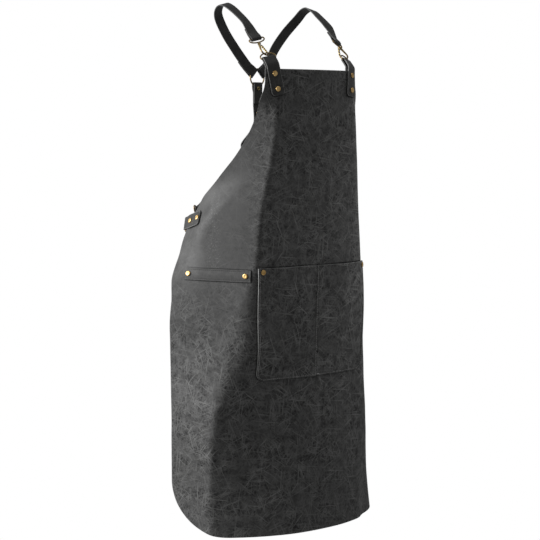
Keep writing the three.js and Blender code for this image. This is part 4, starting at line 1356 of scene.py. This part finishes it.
def make_hook(place, side, ring, pull, outward, degrees, seat):
    """A hook slides along the D-ring's bow to where the bow lies square to the pull."""
    bow_rise = D_BOW_HEIGHT - D_CORNER_HEIGHT
    slope = np.dot(pull, ring.across) * D_HALF_WIDTH / (np.dot(pull, ring.axis) * bow_rise)
    shift = np.clip(D_HALF_WIDTH * slope / math.hypot(1, slope), -D_SLIDE, D_SLIDE)
    share = math.sqrt(1 - (shift / D_HALF_WIDTH) ** 2)
    bow = ring.origin + ring.across * shift + ring.axis * bow_height(D_BOW_HEIGHT, share)
    bow_normal = ring.across * shift / D_HALF_WIDTH**2 + ring.axis * share / (D_HALF_WIDTH * bow_rise)
    level = square_to(pull, ring.across)
    front = square_to(level, square_to(pull, outward))
    turn = math.radians(degrees)
    across = level * math.cos(turn) - front * math.sin(turn)
    low = bow - pull * (WIRE + seat + HOOK_WIRE) / np.dot(pull, unit(bow_normal))
    loop = flat_frame(low, across, pull)
    body_line, _ = catmull(HOOK_BODY, HOOK_STEPS)
    add_brass_wire(f"{place}_hook_{side}", body_line, loop, HOOK_BRASS, closed=False)
    gate = f"{place}_hook_gate_{side}"
    gate_line, _ = catmull(HOOK_GATE, GATE_STEPS)
    add_brass_wire(gate, ribbed(gate_line), loop, GATE_BRASS, closed=False, body=gate)
    bar = low + pull * (BARREL_TOP + CLEAR + WIRE + EYE_DEPTH)
    eye_frame = flat_frame(bar, level, -pull)
    add_brass_wire(f"{place}_hook_eye_{side}", d_path(EYE_DEPTH), eye_frame, HOOK_BRASS)
    return Hook(bar, pull, level)


def make_fastening(place, side, tab, target, hook_turn):
    """Tab, D-ring and hook in a row, from the leather's edge towards a point that pulls on it."""
    plan = TabPlan(tab, SIDES[side])
    make_tab(f"{place}_tab_{side}", plan)
    for k, inset in enumerate(TAB_RIVETS):
        point = plan.place(-inset, 0, TAB_GAP + STRAP_WALL)
        add_rivet(f"{place}_tab_rivet_{side}_{k + 1}", point, face_normal(*plan.spot(-inset, 0)))
    pull = unit(target - plan.bar)
    ring = flat_frame(plan.bar, plan.level, square_to(plan.level, pull))
    add_brass_wire(f"{place}_d_ring_{side}", d_path(D_BOW_HEIGHT), ring, HOOK_BRASS)
    return make_hook(place, side, ring, pull, plan.outward, hook_turn, tab.seat)


def make_ring(name, place):
    spokes = [(math.cos(t), math.sin(t)) for t in around(RING_STEPS)]
    stations = [Station(RING_RADIUS * a, RING_RADIUS * b, RING_WIRE) for a, b in spokes]
    add_brass_wire(name, stations, flat_frame(place, LEFTWARD, UPWARD), HOOK_BRASS)


# Straps

class StrapRoute:
    """A strap's route through points, each with the direction of the strap's width there."""

    def __init__(self, points, widths, outward):
        self.points, knots = catmull(points, ROUTE_STEPS)
        widths = np.array(widths, float)
        k = np.minimum(knots.astype(int), len(widths) - 2)
        wide = mix(widths[k], widths[k + 1], (knots - k)[:, None])
        self.tangents = unit(np.gradient(self.points, axis=0))
        self.wide = unit(wide - self.tangents * np.einsum("ij,ij->i", wide, self.tangents)[:, None])
        self.normals = np.cross(self.tangents, self.wide)
        self.normals *= np.sign(np.dot(self.normals[0], outward))
        self.run = run_along(self.points)
        self.length = self.run[-1]

    def place(self, u, w, v):
        at = np.clip(u, 0, self.length)
        here = lambda values: pick(values, self.run, at)
        point = here(self.points) + here(self.tangents) * (u - at)
        return point + unit(here(self.wide)) * w + unit(here(self.normals)) * v


StrapFold = namedtuple("StrapFold", "wire slack tail side")


def fold_line(fold):
    """From the tail's end, round the bar, to the strap's own line. u runs along it and v off it."""
    on_bar = fold.wire + CLEAR + STRAP_WALL / 2
    taper = fold.slack + np.linspace(0, 1, TAPER_STEPS) * LOOP_TAPER
    settle_share = smooth((taper - fold.slack) / LOOP_TAPER)
    flat_tail = np.arange(fold.tail, taper[-1] + 1, -STRAP_ROW)
    line = [(u, fold.side * (STRAP_WALL + CLEAR)) for u in flat_tail]
    for u, share in zip(taper[::-1], settle_share[::-1]):
        line.append((u, fold.side * mix(on_bar, STRAP_WALL + CLEAR, share)))
    for angle in np.linspace(0, math.pi, FOLD_STEPS + 1):
        line.append((-on_bar * math.sin(angle), fold.side * on_bar * math.cos(angle)))
    for u, share in zip(taper, settle_share):
        line.append((u, -fold.side * mix(on_bar, 0, share)))
    return line


def make_strap(name, route, first, last):
    begin = fold_line(first)
    finish = [(route.length - u, v) for u, v in fold_line(last)[::-1]]
    count = max(2, round((finish[0][0] - begin[-1][0]) / STRAP_ROW))
    middle = [(u, 0) for u in np.linspace(begin[-1][0], finish[0][0], count + 1)[1:-1]]
    line = np.array([*begin, *middle, *finish])
    slope = unit(np.gradient(line, axis=0))
    rows = [StripRow(u, v, (-dv, du), STRAP_WIDTH / 2) for (u, v), (du, dv) in zip(line, slope)]
    looks = (STRAP_COLUMNS, (STRAP_PATTERN, 0), STRAP_MATERIALS, STRAP_ROUND)
    add_folded(name, rows, route.place, *looks)


RingEnd = namedtuple("RingEnd", "points widths")


def ring_end(ring, degrees, approach, width_guide):
    """A strap's last stretch to a ring, at an angle from straight up and flat in the ring's plane."""
    spoke = vector(math.sin(math.radians(degrees)), 0, math.cos(math.radians(degrees)))
    fold = math.sqrt(RING_RADIUS**2 - (STRAP_WIDTH / 2) ** 2) - RING_BITE
    wide = vector(spoke[2], 0, -spoke[0])
    wide = wide * np.sign(np.dot(wide, width_guide))
    return RingEnd([ring + spoke * (fold + approach), ring + spoke * fold], [wide, wide])


HOOK_FOLD = StrapFold(WIRE, BAR_SLACK, HOOK_END_TAIL, -1)
RING_FOLD = StrapFold(RING_WIRE, RING_SLACK, RING_END_TAIL, -1)


def route_points(rows, sign):
    """A route's points and width directions, mirrored where the sign is negative."""
    points = [vector(sign * row.x, row.y, row.z) for row in rows]
    return points, [vector(sign * row.wx, row.wy, row.wz) for row in rows]


def hooked_route(hook, approach, hook_wide, points, widths, end, outward):
    """A strap from a hook's eye through the points of its route to its end on a ring."""
    start = [hook.bar, hook.bar + hook.pull * approach]
    widths = [hook_wide, hook_wide, *widths, *end.widths]
    return StrapRoute([*start, *points, *end.points], widths, outward)


def make_side(side):
    sign = SIDES[side]
    points, widths = route_points(SHOULDER_ROUTE, sign)
    hook = make_fastening("shoulder", side, SHOULDER_TAB, points[0], SHOULDER_HOOK_TURN)
    end = ring_end(UPPER_RING, sign * STRAP_FAN, RING_APPROACH, widths[-1])
    over = hooked_route(hook, SHOULDER_HOOK_APPROACH, -hook.level, points, widths, end, OVER_SHOULDER)
    make_strap(f"shoulder_strap_{side}", over, HOOK_FOLD, RING_FOLD._replace(side=1))

    points, widths = route_points([WAIST_ROUTE[side]], 1)
    hook = make_fastening("waist", side, WAIST_TAB, points[0], WAIST_HOOK_TURN)
    reach = points[0] - LOWER_RING
    angle = math.degrees(math.atan2(reach[0], reach[2]))
    end = ring_end(LOWER_RING, angle, LOWER_RING_APPROACH, widths[0])
    behind = hooked_route(hook, WAIST_HOOK_APPROACH, hook.level, points, widths, end, BACKWARD)
    make_strap(f"waist_strap_{side}", behind, HOOK_FOLD, RING_FOLD)

    s = sign * POCKET_RIVET["s"]
    drop = POCKET_RIVET["drop"]
    add_rivet(f"pocket_rivet_{side}", pocket_point(s, drop), face_normal(s, drop))


def make_back():
    make_ring("upper_ring", UPPER_RING)
    make_ring("lower_ring", LOWER_RING)
    straight = lambda ring, turn, stop: ring_end(ring, turn, stop, LEFTWARD).points[0]
    hang = [straight(UPPER_RING, 180, stop) for stop in (0, RING_END_TAIL, BACK_DROP)]
    rise = [straight(LOWER_RING, 0, stop) for stop in (BACK_RISE, RING_END_TAIL, 0)]
    points = [*hang, *rise]
    route = StrapRoute(points, [LEFTWARD] * len(points), BACKWARD)
    make_strap("centre_back_strap", route, RING_FOLD, RING_FOLD)
    front_of = lambda u: route.place(u, 0, -1) - route.place(u, 0, 0)
    tail_face = RING_WIRE + CLEAR + STRAP_WALL
    eyelet_at = route.place(BACK_EYELET, 0, -tail_face)
    add_rivet("back_eyelet", eyelet_at, front_of(BACK_EYELET), EYELET_PROFILE, GATE_BRASS)
    rivet_at = route.place(BACK_RIVET, 0, -STRAP_WALL / 2)
    add_rivet("back_rivet", rivet_at, front_of(BACK_RIVET))


def make_strip_rivets():
    for k, s in enumerate(STRIP_RIVETS):
        point = off_face(-s, STRIP_MIDDLE, strip_height(STRIP_MIDDLE))
        add_rivet(f"strip_rivet_{k + 1}", point, face_normal(-s, STRIP_MIDDLE))


# Stage: camera, lights, background and floor

IMAGE = 540
VIEW_AZIMUTH = -41
VIEW_DISTANCE = 3000
VIEW_SCALE = 1.85
VIEW_CENTRE_X = 318
VIEW_HORIZON_Y = 127
VIEW_EYE_Z = -229
VIEW_FRONT_Y = -105
SENSOR = 36
CLIP_END = 100
FLOOR_DROP = 470
FLOOR_RADIUS = 900
FLOOR_SIDES = 96
FLOOR_COLOURS = ((0.8, 0.8, 0.79), (0.86, 0.86, 0.85))
FILL_LIGHT = 0.3
WHITE = (1, 1, 1, 1)

# Area lights, with places and sizes in metres. One that doesn't shine is left out of reflections.
Softbox = namedtuple("Softbox", "name place target size power spread shines", defaults=(180, True))
LIGHT_AIM = (0, -0.03, -0.5)
SOFTBOXES = table(
    Softbox,
    ("key_left", (-2.45, 1.3, 0.3), LIGHT_AIM, (1.2, 1.8), 118),
    ("back_left", (-2.0, 1.9, 0.1), (-0.1, 0.05, -0.4), (1.0, 1.6), 50),
    ("rim_right", (1.9, -0.36, 0.0), (0.1, -0.05, -0.4), (0.5, 0.5), 1.15, 21, False),
    ("top", (-0.3, -0.4, 2.6), LIGHT_AIM, (2.0, 2.0), 16),
)


def aim(thing, place, direction):
    """Puts a camera or light in its place, facing in a direction."""
    thing.location = place
    thing.rotation_mode = "QUATERNION"
    thing.rotation_quaternion = direction.to_track_quat("-Z", "Y")
    bpy.context.scene.collection.objects.link(thing)


def make_camera():
    focal = VIEW_DISTANCE / VIEW_SCALE
    azimuth = math.radians(VIEW_AZIMUTH)
    back = Vector((math.sin(azimuth), -math.cos(azimuth), 0))
    yaw = math.atan((VIEW_CENTRE_X - IMAGE / 2) / focal)
    pitch = math.atan((IMAGE / 2 - VIEW_HORIZON_Y) / focal)
    level = Matrix.Rotation(yaw, 3, "Z") @ -back
    forward = level * math.cos(pitch) - Vector((0, 0, 1)) * math.sin(pitch)
    data = bpy.data.cameras.new("photo_camera")
    data.sensor_width = SENSOR
    data.lens = SENSOR * focal / IMAGE
    data.clip_end = CLIP_END
    camera = bpy.data.objects.new("photo_camera", data)
    eye = Vector((0, VIEW_FRONT_Y, 0)) + back * VIEW_DISTANCE
    aim(camera, Vector((eye.x, eye.y, VIEW_EYE_Z)) * MM, forward)
    bpy.context.scene.camera = camera


def add_softbox(box):
    data = bpy.data.lights.new(box.name, "AREA")
    data.shape = "RECTANGLE"
    data.size, data.size_y = box.size
    data.energy = box.power
    data.spread = math.radians(box.spread)
    lamp = bpy.data.objects.new(box.name, data)
    lamp.visible_glossy = box.shines
    aim(lamp, box.place, Vector(box.target) - Vector(box.place))


def make_background():
    world = bpy.data.worlds.new("studio")
    world.use_nodes = True
    bpy.context.scene.world = world
    tree = world.node_tree
    tree.nodes.clear()
    dim = put(tree, "ShaderNodeBackground", {"Color": WHITE, "Strength": FILL_LIGHT})
    full = put(tree, "ShaderNodeBackground", {"Color": WHITE, "Strength": 1})
    seen = put(tree, "ShaderNodeLightPath", {}).outputs["Is Camera Ray"]
    both = put(tree, "ShaderNodeMixShader", {0: seen, 1: dim.outputs[0], 2: full.outputs[0]})
    put(tree, "ShaderNodeOutputWorld", {"Surface": both.outputs[0]})


def make_stage():
    bpy.context.scene.view_settings.view_transform = "Standard"
    make_background()
    for box in SOFTBOXES:
        add_softbox(box)
    turn = around(FLOOR_SIDES)
    level = np.full(FLOOR_SIDES, float(BIB_TOP_Z - BODY_LENGTH - FLOOR_DROP))
    rim = np.stack([FLOOR_RADIUS * np.cos(turn), FLOOR_RADIUS * np.sin(turn), level], axis=1)
    paint = Paint("pale_floor")
    colour = paint.blend(paint.noise(paint.in_space(), FLOOR_CLOUD)["Fac"], *FLOOR_COLOURS)
    pale = paint.finish({"Base Color": colour, "Roughness": 0.8})
    add_object("floor", rim, [list(range(FLOOR_SIDES))], [pale])


make_camera()
make_body()
make_pocket()
make_strip()
make_strip_rivets()
for side_name in SIDES:
    make_side(side_name)
make_back()
make_stage()
